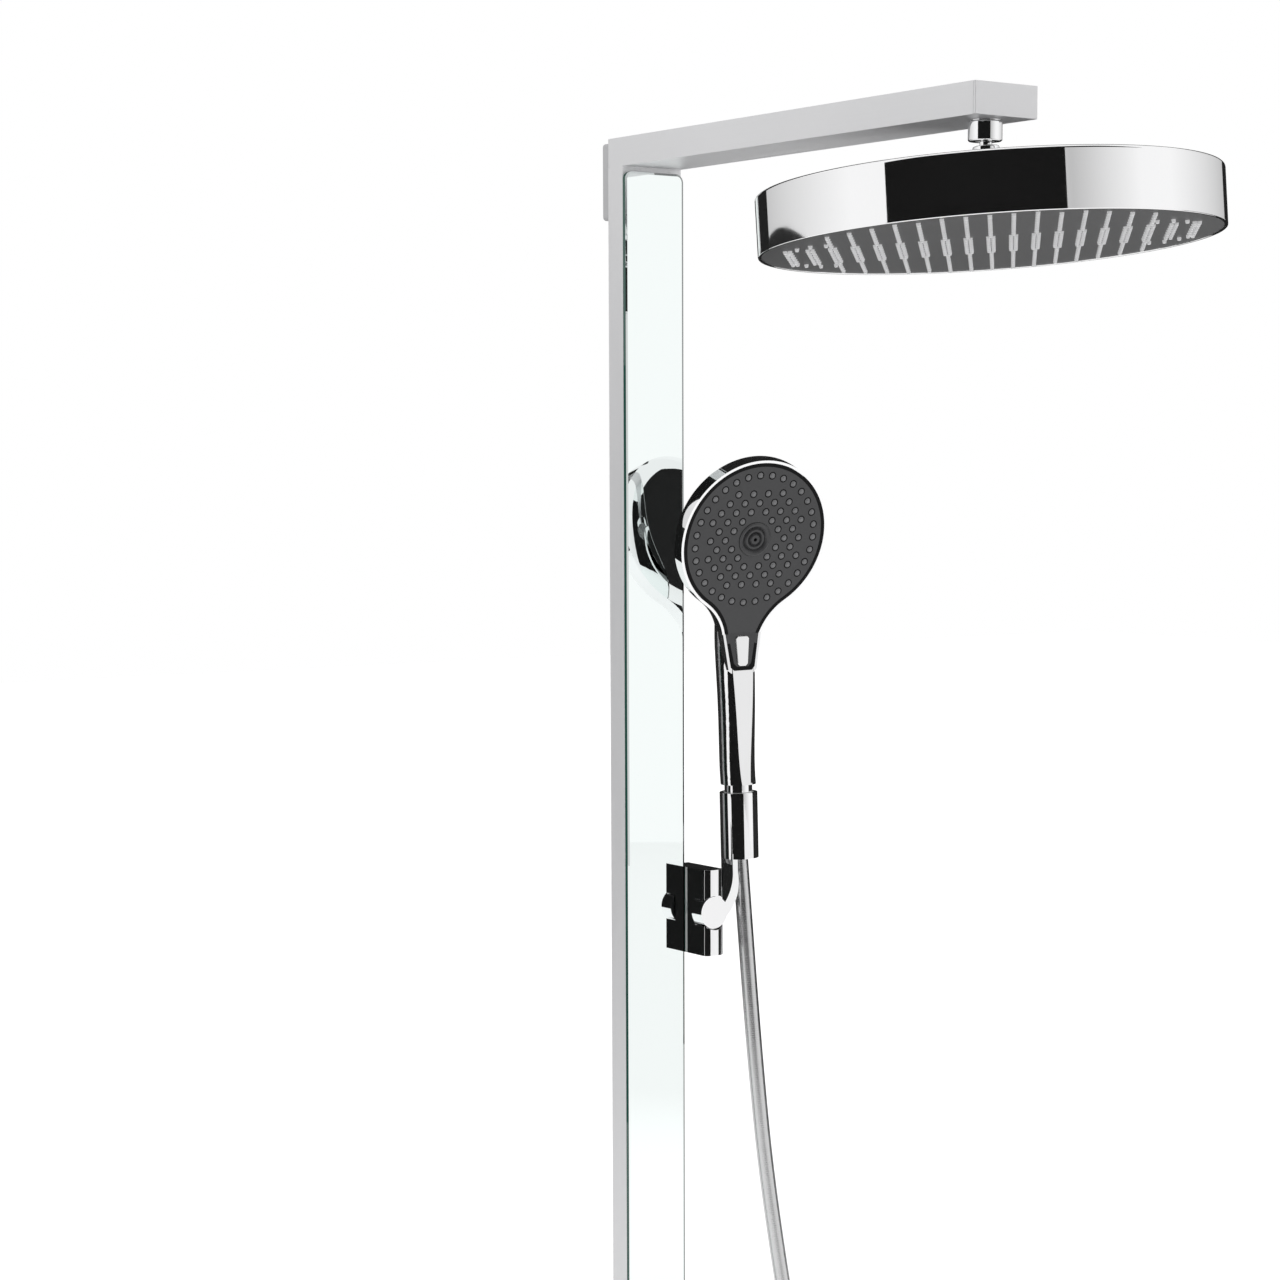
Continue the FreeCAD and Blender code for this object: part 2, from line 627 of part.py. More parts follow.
def pipes():
    """The riser in the profile, its elbow in the arm, the pipe forward and the block over the ball."""
    inner = S.riser_radius - S.riser_wall
    elbow_low = ARM_LOW + S.arm_wall + 0.3
    tube("riser_pipe", "XY_Plane", 0, RISER_Y, S.riser_radius, inner,
         CASING_TOP - S.pipe_socket, elbow_low + S.pipe_socket - CASING_TOP + S.pipe_socket)
    block_high = ARM_TOP - S.arm_wall - 0.3
    half = S.elbow_width / 2
    arm_pipe = new_body("arm_pipe")
    front = BALL_Y + half
    back = RISER_Y - half
    sketch = new_sketch(arm_pipe, "XZ_Plane", -back - S.arm_pipe_socket)
    circle(sketch, 0, ARM_MIDDLE, S.arm_pipe_radius)
    circle(sketch, 0, ARM_MIDDLE, S.arm_pipe_radius - S.riser_wall)
    pad(arm_pipe, sketch, back - front + 2 * S.arm_pipe_socket)
    for label, middle, way, bore in (
        ("riser_elbow", RISER_Y, -1, S.riser_radius),
        ("arm_outlet_block", BALL_Y, 1, S.cup_stud_radius),
    ):
        body = new_body(label)
        low = elbow_low
        sketch = new_sketch(body, "XY_Plane", low)
        reach_back = PROFILE_BACK - S.cap_plate - S.rear_cap_rim - 0.3 if way < 0 else middle + half
        rectangle(sketch, -half, half, middle - half, reach_back)
        pad(body, sketch, block_high - low)
        down = new_sketch(body, "XY_Plane", low + S.pipe_socket)
        circle(down, 0, middle, bore + S.pipe_clearance)
        pocket(body, down, S.pipe_socket)
        way_down = new_sketch(body, "XY_Plane", ARM_MIDDLE)
        circle(way_down, 0, middle, bore - S.riser_wall)
        pocket(body, way_down, S.arm_height)
        face = -(middle - half) if way < 0 else -(middle + half)
        socket = new_sketch(body, "XZ_Plane", face)
        circle(socket, 0, ARM_MIDDLE, S.arm_pipe_radius + S.pipe_clearance)
        pocket(body, socket, S.arm_pipe_socket, Reversed=way > 0)
        way_in = new_sketch(body, "XZ_Plane", face)
        circle(way_in, 0, ARM_MIDDLE, S.arm_pipe_radius - S.riser_wall)
        pocket(body, way_in, half, Reversed=way > 0)


def build_column():
    column_profile()
    front_glass()
    wall_brackets()
    overhead_arm()
    front_caps()
    pipes()


# ---------------------------------------------------------------- ball joint

def build_ball_joint():
    """A ball in a seat ring between the cup on the arm and its locking nut."""
    seat_inner = S.ball_radius + S.ball_clearance
    seat_outer = seat_inner + S.seat_thickness
    cavity = seat_outer + S.ball_clearance
    arm_face = S.ball_drop - S.arm_height
    cup_side = S.ball_nut_radius - S.ball_nut_wall - S.thread_clearance
    bore = S.water_bore
    edge_top = Size("sqrt(%s^2 - %s^2)" % (cavity.text, bore.text),
                    math.sqrt(cavity.value ** 2 - bore.value ** 2))
    seam = 0.2
    edge_low = Size("sqrt(%s^2 - 0.04)" % cavity.text, math.sqrt(cavity.value ** 2 - 0.04))
    stud_top = arm_face + S.arm_wall + 0.3 + S.pipe_socket
    revolved("ball_cup", [
        (bore, edge_top, -cavity), (edge_low, seam), (cup_side, seam),
        (cup_side, S.ball_nut_above + 0.1), (S.cup_collar_radius, S.ball_nut_above + 0.1),
        (S.cup_collar_radius, arm_face), (S.cup_stud_radius, arm_face),
        (S.cup_stud_radius, stud_top), (bore, stud_top),
    ], BALL_STEP)
    mouth_low = Size("sqrt(%s^2 - %s^2)" % (cavity.text, S.ball_mouth.text),
                     math.sqrt(cavity.value ** 2 - S.ball_mouth.value ** 2))
    side = S.ball_nut_radius
    bevel = 0.8
    revolved("ball_nut", [
        (S.ball_mouth, -mouth_low, cavity), (cavity, 0), (cavity, seam / 2),
        (cup_side + S.thread_clearance, seam / 2),
        (cup_side + S.thread_clearance, S.ball_nut_above), (side - bevel, S.ball_nut_above),
        (side, S.ball_nut_above - bevel), (side, -S.ball_nut_below + bevel),
        (side - bevel, -S.ball_nut_below), (S.ball_mouth, -S.ball_nut_below),
    ], BALL_STEP)
    opening = 50
    low, high = cosine(opening), sine(opening)
    revolved("ball_seat", [
        (seat_inner * high, -seat_inner * low), (seat_outer * high, -seat_outer * low, seat_outer),
        (seat_outer * high, seat_outer * low), (seat_inner * high, seat_inner * low, -seat_inner),
    ], SEAT_STEP)
    neck = Size("sqrt(%s^2 - %s^2)" % (S.ball_radius.text, S.stem_radius.text),
                math.sqrt(S.ball_radius.value ** 2 - S.stem_radius.value ** 2))
    crown = Size("sqrt(%s^2 - %s^2)" % (S.ball_radius.text, bore.text),
                 math.sqrt(S.ball_radius.value ** 2 - bore.value ** 2))
    flange_low = -S.swivel_drop - S.stem_flange_height
    foot = flange_low - S.pipe_socket
    equator = S.ball_radius
    revolved("ball_stem", [
        (bore, foot), (S.stem_radius, foot), (S.stem_radius, flange_low),
        (S.stem_flange_radius, flange_low), (S.stem_flange_radius, -S.swivel_drop),
        (S.stem_radius, -S.swivel_drop), (S.stem_radius, -neck, equator), (equator, 0, equator),
        (bore, crown),
    ], HEAD_STEP)


# ---------------------------------------------------------------- overhead shower

def overhead_spots():
    """Rows of nozzles, in pairs near the middle of a row. The outer rows have only their pairs, and
    single nozzles follow the rim from there to the ends of the long rows."""
    field = (S.head_radius - S.nozzle_margin).value
    pitch = S.nozzle_pitch.value
    along_step = S.nozzle_step.value
    pair = S.nozzle_pair.value / 2
    rows = int(field // pitch)
    spots = []
    for row in range(-rows, rows + 1):
        across = row * pitch
        reach = math.sqrt(field ** 2 - across ** 2)
        if abs(row) > rows - 2:
            reach = S.nozzle_pairs.value
        count = int(reach // along_step)
        for k in range(-count, count + 1):
            level = k * along_step
            if abs(level) > S.nozzle_pairs.value:
                spots.append((across, level))
                continue
            spots.append((across - pair, level))
            spots.append((across + pair, level))
    for side in (0, 180):
        for angle in (20, 26, 32, 38):
            for turn in (side - angle, side + angle):
                spots.append((field * math.cos(math.radians(turn)),
                              field * math.sin(math.radians(turn))))
    return spots


def nozzle_solid(root, tip, height, spot):
    """A four-sided tapered nozzle that points down from z = 0."""
    rings = []
    for radius, level in ((root, 0), (tip, -height)):
        ring = []
        for k in range(5):
            angle = math.pi / 2 * k
            ring.append(FreeCAD.Vector(spot[0] + radius * math.cos(angle),
                                       spot[1] + radius * math.sin(angle), level))
        rings.append(Part.makePolygon(ring))
    return Part.makeLoft(rings, True, True)


def build_overhead():
    rim = -S.head_drop
    back = rim + S.head_height
    face = rim + S.head_lip
    plate_top = face + S.head_plate
    radius = S.head_radius
    spigot = S.spigot_radius
    flange_low = -S.swivel_drop - S.stem_flange_height - S.swivel_clearance
    nut_low = -S.swivel_drop + S.swivel_lip - S.swivel_nut_length
    nut_side = S.swivel_nut_radius
    revolved("swivel_nut", [
        (S.stem_radius + S.swivel_clearance, -S.swivel_drop + S.swivel_clearance),
        (S.stem_radius + S.swivel_clearance, -S.swivel_drop + S.swivel_lip),
        (nut_side - 0.6, -S.swivel_drop + S.swivel_lip),
        (nut_side, -S.swivel_drop + S.swivel_lip - 0.6), (nut_side, nut_low),
        (spigot + S.thread_clearance, nut_low),
        (spigot + S.thread_clearance, -S.swivel_drop + S.swivel_clearance),
    ], HEAD_STEP)
    inner_top = back - S.head_wall
    stem_bore = S.stem_radius + S.swivel_clearance
    socket = flange_low - S.pipe_socket - S.swivel_clearance
    cone = S.head_cone_radius
    high = back + S.head_cone_height
    revolved("overhead_housing", [
        (stem_bore, flange_low), (spigot, flange_low), (spigot, nut_low), (nut_side, nut_low),
        (nut_side, high + 1), (nut_side + 2, high), (cone, back),
        (radius - S.head_edge, back), (radius, back - S.head_edge), (radius, rim),
        (radius - S.head_wall, rim), (radius - S.head_wall, inner_top),
        (S.water_bore + 1, inner_top), (stem_bore, socket),
    ], HEAD_STEP)
    plate_edge = radius - S.head_wall - S.head_plate_gap
    plate = [(0, face), (plate_edge, face), (plate_edge, plate_top), (0, plate_top)]
    revolved("overhead_face_plate", plate, HEAD_STEP)
    chamber_top = plate_top + S.chamber_height
    wall = S.chamber_wall
    inlet = S.water_bore + 1
    side = radius - S.chamber_inset
    revolved("overhead_water_chamber", [
        (inlet, chamber_top - wall), (side - wall, chamber_top - wall), (side - wall, plate_top + 2),
        (side, plate_top + 2), (side, chamber_top), (inlet + wall, chamber_top),
        (inlet + wall, inner_top), (inlet, inner_top),
    ], HEAD_STEP)
    revolved("chamber_seal", [
        (side - 2 * wall, plate_top), (side, plate_top), (side, plate_top + 2),
        (side - wall, plate_top + 2), (side - wall, plate_top + 1), (side - 2 * wall, plate_top + 1),
    ], HEAD_STEP)
    shapes = []
    for spot in overhead_spots():
        shapes.append(nozzle_solid(S.nozzle_radius.value, S.nozzle_tip.value,
                                   S.nozzle_height.value, spot))
    turn = FreeCAD.Rotation(FreeCAD.Vector(*UP), S.nozzle_turn.value - 90)
    own = FreeCAD.Placement(FreeCAD.Vector(0, 0, face.value), turn)
    body = [part for part in PARTS if part.Label == "overhead_face_plate"][0]
    compound_part("overhead_nozzles", shapes, body.Placement * own)


# ---------------------------------------------------------------- slider and holder

def build_slider():
    low = S.slider_level - S.slider_height / 2
    recess = S.pivot_length + S.pivot_setback + S.pivot_gap
    back = PROFILE_BACK - 3
    block = new_body("slider_block")
    sketch = new_sketch(block, "XY_Plane", low)
    half = S.slider_width / 2
    rise = Size("sqrt(%s^2 - %s^2)" % (S.slider_crown.text, half.text),
                math.sqrt(S.slider_crown.value ** 2 - half.value ** 2))
    edge = BLOCK_FRONT + S.slider_crown - rise
    outline(sketch, [(BLOCK_LEFT, edge, S.slider_crown), (BLOCK_RIGHT, edge),
                     (BLOCK_RIGHT, back), (BLOCK_LEFT, back)])
    pad(block, sketch, S.slider_height)
    front = edge.value + 1e-3
    dress(block, "Fillet", S.slider_round, lambda e: along(e, 2) and e.Vertexes[0].Y < front)
    round_cut = new_sketch(block, "XZ_Plane", -BLOCK_FRONT)
    circle(round_cut, PIVOT_X, S.slider_level, S.pivot_radius + S.pivot_gap)
    pocket(block, round_cut, recess)
    bore = new_sketch(block, "XZ_Plane", -BLOCK_FRONT - recess)
    circle(bore, PIVOT_X, S.slider_level, S.pin_radius + S.pin_clearance)
    pocket(block, bore, 16)
    pin_front = HOLDER_FRONT + 3
    tube("pivot_pin", "XZ_Plane", PIVOT_X, S.slider_level, S.pin_radius, None,
         -BLOCK_FRONT - recess - 15, recess + 15 - (pin_front - BLOCK_FRONT))
    glide = new_body("slider_glide")
    clear = S.slide_clearance
    spring_room = 1.2
    web = S.slot_opening / 2 - clear
    head = S.slot_cavity / 2 - clear
    middle = PROFILE_MIDDLE
    head_right = HALF - S.profile_wall - clear
    head_left = SLOT_FLOOR + spring_room
    glide_low = low + 3
    glide_length = S.slider_height - 6
    sketch = new_sketch(glide, "XY_Plane", glide_low)
    outline(sketch, [
        (BLOCK_LEFT, middle - web), (BLOCK_LEFT, middle + web), (head_right, middle + web),
        (head_right, middle + head), (head_left, middle + head), (head_left, middle - head),
        (head_right, middle - head), (head_right, middle - web),
    ])
    pad(glide, sketch, glide_length)
    spring = new_body("brake_spring")
    sketch = new_sketch(spring, "XZ_Plane", -middle - 4)
    strip = 0.35
    floor = SLOT_FLOOR + 0.05
    third = glide_length / 3
    start = glide_low + 4
    end = glide_low + glide_length - 4
    outline(sketch, [
        (head_left, start), (floor + strip, start + third), (floor + strip, end - third),
        (head_left, end), (head_left - strip, end), (floor, end - third), (floor, start + third),
        (head_left - strip, start),
    ])
    pad(spring, sketch, 8)


def build_holder():
    """Round pivot, hook and conical sleeve in one piece, with a plastic liner in the sleeve."""
    arm = new_body("holder_arm")
    hook = new_sketch(arm, "XZ_Plane", 0)
    round_end = S.pivot_radius
    inner = S.sleeve_offset - S.hook_inset
    outer = inner + S.hook_width
    bend = S.sleeve_low - S.hook_straight
    top = S.sleeve_low + 5
    outline(hook, [
        (0, -round_end / 2), (0.9 * round_end, -0.36 * round_end, S.hook_bend), (outer, bend),
        (outer, top), (inner, top), (inner, bend, -S.hook_inner_bend),
        (0.7 * round_end, 0.4 * round_end), (0, 0.4 * round_end),
    ])
    pad(arm, hook, S.hook_depth, Reversed=True)
    behind = new_sketch(arm, "YZ_Plane")
    past = S.hook_depth + 1
    outline(behind, [
        (S.hook_root, -round_end), (past, -round_end), (past, S.sleeve_low),
        (S.hook_depth, S.sleeve_low, -S.hook_back_bend), (S.hook_root, 0.4 * round_end),
    ])
    pocket(arm, behind)
    disc = new_sketch(arm, "XZ_Plane")
    circle(disc, 0, 0, round_end)
    pad(arm, disc, S.pivot_length, Reversed=True)
    sleeve = new_sketch(arm, "XY_Plane", S.sleeve_low)
    circle(sleeve, S.sleeve_offset, S.sleeve_back, S.sleeve_radius)
    pad(arm, sleeve, S.sleeve_height)
    bore = new_sketch(arm, "XZ_Plane", -S.sleeve_back)
    outline(bore, [
        (S.sleeve_offset, S.sleeve_low - 1), (S.sleeve_offset + S.sleeve_bore_low, S.sleeve_low - 1),
        (S.sleeve_offset + S.sleeve_bore_low, S.sleeve_low),
        (S.sleeve_offset + S.sleeve_bore_top, SLEEVE_TOP),
        (S.sleeve_offset + S.sleeve_bore_top, SLEEVE_TOP + 1), (S.sleeve_offset, SLEEVE_TOP + 1),
    ])
    axis = bore.addGeometry(Part.LineSegment(
        FreeCAD.Vector(S.sleeve_offset.value, 0, 0), FreeCAD.Vector(S.sleeve_offset.value, 9, 0)), True)
    bind(bore, Sketcher.Constraint("DistanceX", -1, 1, axis, 1, S.sleeve_offset.value), S.sleeve_offset)
    bind(bore, Sketcher.Constraint("DistanceX", -1, 1, axis, 2, S.sleeve_offset.value), S.sleeve_offset)
    bind(bore, Sketcher.Constraint("DistanceY", -1, 1, axis, 1, 0), 0)
    bind(bore, Sketcher.Constraint("DistanceY", -1, 1, axis, 2, 9), 9)
    turned(arm, "Groove", bore, "Axis0")
    pin = new_sketch(arm, "XZ_Plane", -S.pivot_length)
    circle(pin, 0, 0, S.pin_radius + S.pin_clearance)
    pocket(arm, pin, S.pivot_length - 2.5, Reversed=True)
    placed(arm, HOLDER_STEP)
    gap = 0.05
    wall = S.liner_wall
    top, low = S.sleeve_bore_top - gap, S.sleeve_bore_low - gap
    revolved("sleeve_liner", [
        (low, S.sleeve_low), (top, SLEEVE_TOP), (top - wall, SLEEVE_TOP),
        (low - wall, S.sleeve_low),
    ], HOLDER_STEP, SLEEVE_STEP)


# ---------------------------------------------------------------- hand shower

def in_face(y, z):
    """A point of the handle's frame in the frame of the tilted face."""
    y, z = y + S.hand_reach, z - S.hand_rise
    across, up = cosine(S.hand_pitch), sine(S.hand_pitch)
    return y * across + z * up, z * across - y * up


def flank(grow):
    """Radius of the round face, of its hollow flanks, and half the width between them at the bend."""
    plate = S.hand_radius - S.hand_lip - S.plate_gap
    hollow = S.flank_radius - grow
    away = plate + S.flank_radius
    drop = away * cosine(S.flank_angle) - S.neck_foot
    side = Size("sqrt(%s^2 - %s^2)" % (hollow.text, drop.text),
                math.sqrt(hollow.value ** 2 - drop.value ** 2))
    return plate + grow, hollow, away * sine(S.flank_angle) - side


def teardrop(grow):
    """Outline of the hand shower's front: a circle that draws in to the handle through two
    hollow flanks."""
    radius, hollow, half = flank(grow)
    across, down = radius * sine(S.flank_angle), -radius * cosine(S.flank_angle)
    return [
        (half, -S.neck_foot, -hollow), (across, down, radius), (0, radius, radius),
        (-across, down, -hollow), (-half, -S.neck_foot),
    ]


def neck_strip(sketch, grow):
    """Lower end of the front plate, where it lies along the handle."""
    half = flank(grow)[2]
    tip = S.neck_tip_half + grow
    low = -S.neck_length - grow
    cut = 3
    outline(sketch, [(half, cut), (-half, cut), (-tip, low + cut), (-tip + cut, low),
                     (tip - cut, low), (tip, low + cut)])


# Levels of the handle above its end, with the shift back, the growth of its radius and how far
# its flat front lies inside the round.
HANDLE_SECTIONS = (
    (0, 0, 0, 0.6), (52, 0.7, 0.5, 1.8), (104, 1.2, 1.6, 3.4), (131, 1.2, 2, 4),
    (152, -1.5, 1.8, 4), (178, -10, -0.4, 4), (200, -21, -4, 3),
)


def flat_round(sketch, radius, front):
    """A circle that is cut flat towards -Y."""
    half = Size("sqrt(%s^2 - %s^2)" % (radius.text, front.text),
                math.sqrt(radius.value ** 2 - front.value ** 2))
    outline(sketch, [(-half, -front), (half, -front, radius), (0, radius, radius)])


def across_handle(body, shift, level):
    """A sketch square to the handle, at a level above its end."""
    y, z = in_face(as_size(shift), as_size(level))
    return new_sketch(body, "XY_Plane", pitch=-S.hand_pitch.value, base=(0, y, z))


def on_handle(body, front):
    """A sketch along the handle's flat front, with its middle where the front plate bends."""
    y, z = in_face(-as_size(front), S.neck_level)
    return new_sketch(body, "XZ_Plane", pitch=-S.hand_pitch.value, base=(0, z, -y))


def button_outline(sketch, grow):
    """Tapered selector button with cut corners, hung from the bend of the front plate."""
    wide = S.button_width / 2 + grow
    narrow = wide - 1.6
    high = -1.6 + grow
    low = high - S.button_height - 2 * grow
    cut = 2.2
    outline(sketch, [
        (wide - cut, high), (-wide + cut, high), (-wide, high - cut), (-narrow, low + cut),
        (-narrow + cut, low), (narrow - cut, low), (narrow, low + cut), (wide, high - cut),
    ])


def hand_shell():
    body = new_body("hand_shell")
    front = new_sketch(body, "XZ_Plane")
    outline(front, teardrop(S.hand_lip + S.plate_gap))
    pad(body, front, S.hand_rim, Reversed=True)
    dome = new_sketch(body, "XY_Plane")
    radius = S.hand_radius
    outline(dome, [
        (0, S.hand_rim - 2), (radius, S.hand_rim - 2), (radius, S.hand_rim, S.hand_dome_edge + 4),
        (radius - S.hand_dome_edge, S.hand_rim + S.hand_dome), (0, S.hand_rim + S.hand_dome),
    ])
    turned(body, "Revolution", dome)
    sections = []
    for level, shift, growth, flat in HANDLE_SECTIONS:
        section = across_handle(body, shift, level)
        size = S.handle_radius + growth
        flat_round(section, size, size - flat)
        sections.append(section)
    loft = body.newObject("PartDesign::AdditiveLoft", "handle_loft")
    loft.Profile = sections[0]
    loft.Sections = sections[1:]
    volume(body)
    bezel = on_handle(body, S.neck_front)
    neck_strip(bezel, S.hand_lip + S.plate_gap)
    pad(body, bezel, 9, Reversed=True)
    hollow = new_sketch(body, "XZ_Plane")
    outline(hollow, teardrop(S.plate_gap))
    pocket(body, hollow, S.face_plate)
    clear = 1
    seat = on_handle(body, S.neck_front + clear)
    neck_strip(seat, S.plate_gap)
    pocket(body, seat, S.face_plate + clear)
    chamber = new_sketch(body, "XZ_Plane", -S.face_plate)
    circle(chamber, 0, 0, S.hand_radius - S.hand_lip - S.hand_wall)
    pocket(body, chamber, S.hand_rim - 1)
    deep = new_sketch(body, "XZ_Plane", -S.hand_rim - 1)
    circle(deep, 0, 0, S.hand_radius - S.hand_dome_edge - S.hand_wall)
    pocket(body, deep, S.hand_dome - 4)
    well = on_handle(body, S.neck_front - S.face_plate)
    button_outline(well, S.button_gap)
    pocket(body, well, S.button_well)
    bore = across_handle(body, 0, 0)
    circle(bore, 0, 0, S.connector_thread + S.thread_clearance)
    pocket(body, bore, S.connector_depth + 0.3, Reversed=True)
    way = across_handle(body, 0, 0)
    circle(way, 0, -S.hand_pipe_front, S.hand_pipe_radius + S.pipe_clearance)
    pocket(body, way, S.hand_pipe_top + 14, Reversed=True)
    placed(body, HOLDER_STEP, HAND_STEP, FACE_STEP)


def hand_spots():
    """A ring of nozzles, and staggered rows inside it that leave room for the middle jet."""
    ring = S.hand_nozzle_field.value
    pitch = S.hand_nozzle_pitch.value
    row_pitch = S.hand_nozzle_row.value
    count = round(2 * math.pi * ring / (0.8 * pitch))
    spots = []
    for k in range(count):
        angle = 2 * math.pi * k / count
        spots.append((ring * math.cos(angle), ring * math.sin(angle)))
    inner = S.jet_radius.value + 2 * S.hand_nozzle_radius.value
    outer = ring - 0.6 * pitch
    rows = int(outer // row_pitch)
    reach = int(outer // pitch) + 1
    for row in range(-rows, rows + 1):
        shift = pitch / 2 * (row % 2)
        for k in range(-reach, reach + 1):
            spot = (k * pitch + shift, row * row_pitch)
            if inner < math.hypot(*spot) < outer:
                spots.append(spot)
    return spots


def hand_spray():
    """Front plate, middle jet, nozzles and the spray former behind them."""
    plate = new_body("hand_face_plate")
    sketch = new_sketch(plate, "XZ_Plane")
    outline(sketch, teardrop(as_size(0)))
    pad(plate, sketch, S.face_plate, Reversed=True)
    strip = on_handle(plate, S.neck_front)
    neck_strip(strip, 0)
    pad(plate, strip, S.face_plate, Reversed=True)
    hole = new_sketch(plate, "XZ_Plane")
    circle(hole, 0, 0, S.jet_radius + S.plate_gap)
    pocket(plate, hole, S.face_plate)
    window = on_handle(plate, S.neck_front + 1)
    button_outline(window, S.button_gap)
    pocket(plate, window, S.face_plate + 1)
    placed(plate, HOLDER_STEP, HAND_STEP, FACE_STEP)

    jet = new_body("hand_jet")
    sketch = new_sketch(jet, "XY_Plane")
    proud, floor, back, side = -1.2, 1.2, S.face_plate + 3, S.jet_radius
    hole = 1.6
    outline(sketch, [
        (hole, back), (side, back), (side, proud / 2), (side - 1.5, proud), (side - 3, proud / 2),
        (side - 5, floor), (side - 6.5, proud / 2), (side - 8, proud / 2), (side - 9.5, floor),
        (side - 11, proud), (hole, proud),
    ])
    turned(jet, "Revolution", sketch)
    placed(jet, HOLDER_STEP, HAND_STEP, FACE_STEP)

    former = new_body("hand_spray_former")
    sketch = new_sketch(former, "XY_Plane")
    side = S.hand_radius - S.hand_lip - S.hand_wall - S.plate_gap
    thick = 2
    outline(sketch, [
        (thick, back), (side - thick, back), (side - thick, S.face_plate), (side, S.face_plate),
        (side, back + thick), (thick, back + thick),
    ])
    turned(former, "Revolution", sketch)
    placed(former, HOLDER_STEP, HAND_STEP, FACE_STEP)

    shapes = []
    for spot in hand_spots():
        shapes.append(nozzle_solid(S.hand_nozzle_radius.value, S.hand_nozzle_tip.value,
                                   S.hand_nozzle_height.value, spot))
    forward = FreeCAD.Placement(FreeCAD.Vector(), FreeCAD.Rotation(FreeCAD.Vector(1, 0, 0), -90))
    compound_part("hand_nozzles", shapes, plate.Placement * forward)


def hand_fittings():
    """Selector button with its spring, connector, water pipe and the hose's conical nut."""
    spring_room = 1.2
    button = new_body("select_button")
    sketch = on_handle(button, S.neck_front + S.button_proud)
    button_outline(sketch, 0)
    thick = S.button_proud + S.face_plate + S.button_well - S.button_travel - spring_room
    pad(button, sketch, thick, Reversed=True)
    placed(button, HOLDER_STEP, HAND_STEP, FACE_STEP)
    spring = new_body("button_spring")
    strip = 0.3
    high = -8
    low = -S.button_height + 4
    crown = -S.button_travel - spring_room + 0.05
    middle = (high + low) / 2
    sketch = new_sketch(spring, "YZ_Plane", -2.5)
    outline(sketch, [
        (-0.05, high), (-0.05 - strip, high), (crown, middle), (-0.05 - strip, low),
        (-0.05, low), (crown + strip, middle),
    ])
    pad(spring, sketch, 5)
    floor = -S.neck_front + S.face_plate + S.button_well
    placed(spring, HOLDER_STEP, HAND_STEP, step(0, floor, S.neck_level))

    thread = S.connector_thread
    bore = S.hose_bore
    gap = S.plate_gap
    cone_top = S.sleeve_bore_top - 0.05 - S.liner_wall - S.cone_clearance
    cone_low = S.sleeve_bore_low - 0.05 - S.liner_wall - S.cone_clearance
    foot = -S.neck_height
    end = foot - S.sleeve_height
    revolved("hand_connector", [
        (bore, foot - 12), (thread - 0.6, foot - 12), (thread - 0.6, foot), (S.neck_radius, foot),
        (S.neck_radius, 0), (thread, 0), (thread, S.connector_depth), (bore, S.connector_depth),
    ], HOLDER_STEP, HAND_STEP)
    socket = S.hose_radius + S.hose_play
    revolved("hose_cone_nut", [
        (socket, end), (cone_low, end), (cone_top, foot - gap), (thread - 0.5, foot - gap),
        (thread - 0.5, foot - 12 - gap), (bore, foot - 12 - gap), (bore, end + S.hose_socket),
        (socket, end + S.hose_socket),
    ], HOLDER_STEP, HAND_STEP)
    pipe = S.hand_pipe_radius
    low = S.connector_depth + gap
    revolved("hand_water_pipe", [
        (pipe - S.riser_wall, low), (pipe, low), (pipe, S.hand_pipe_top),
        (pipe - S.riser_wall, S.hand_pipe_top),
    ], HOLDER_STEP, HAND_STEP, step(0, -S.hand_pipe_front, 0))


def build_hand_shower():
    hand_shell()
    hand_spray()
    hand_fittings()


# ---------------------------------------------------------------- mixer

def mixer_casing():
    """Cover round the mixer, open towards the wall."""
    body = new_body("mixer_casing")
    side = S.casing_width / 2
    sketch = new_sketch(body, "XZ_Plane", S.casing_back)
    rectangle(sketch, -side, side, -CASING_TOP, CASING_TOP)
    pad(body, sketch, S.casing_depth)
    front = CASING_FRONT.value + 1e-3
    dress(body, "Fillet", S.casing_corner,
          lambda e: along(e, 1) or max(v.Y for v in e.Vertexes) < front)
    wall = S.casing_wall
    hollow = new_sketch(body, "XZ_Plane", S.casing_back)
    rectangle(hollow, -side + wall, side - wall, -CASING_TOP + wall, CASING_TOP - wall)
    pocket(body, hollow, S.casing_depth - wall, Reversed=True)
    ends = new_sketch(body, "YZ_Plane")
    circle(ends, MIXER_Y, 0, S.spindle_radius + 3)
    pocket(body, ends)
    top = new_sketch(body, "XY_Plane", CASING_TOP)
    circle(top, 0, RISER_Y, S.riser_radius + 0.3)
    pocket(body, top, 2 * wall)
    low = new_sketch(body, "XY_Plane", -CASING_TOP)
    circle(low, -S.outlet_offset, MIXER_Y, S.outlet_radius + 0.3)
    pocket(body, low, 2 * wall, Reversed=True)


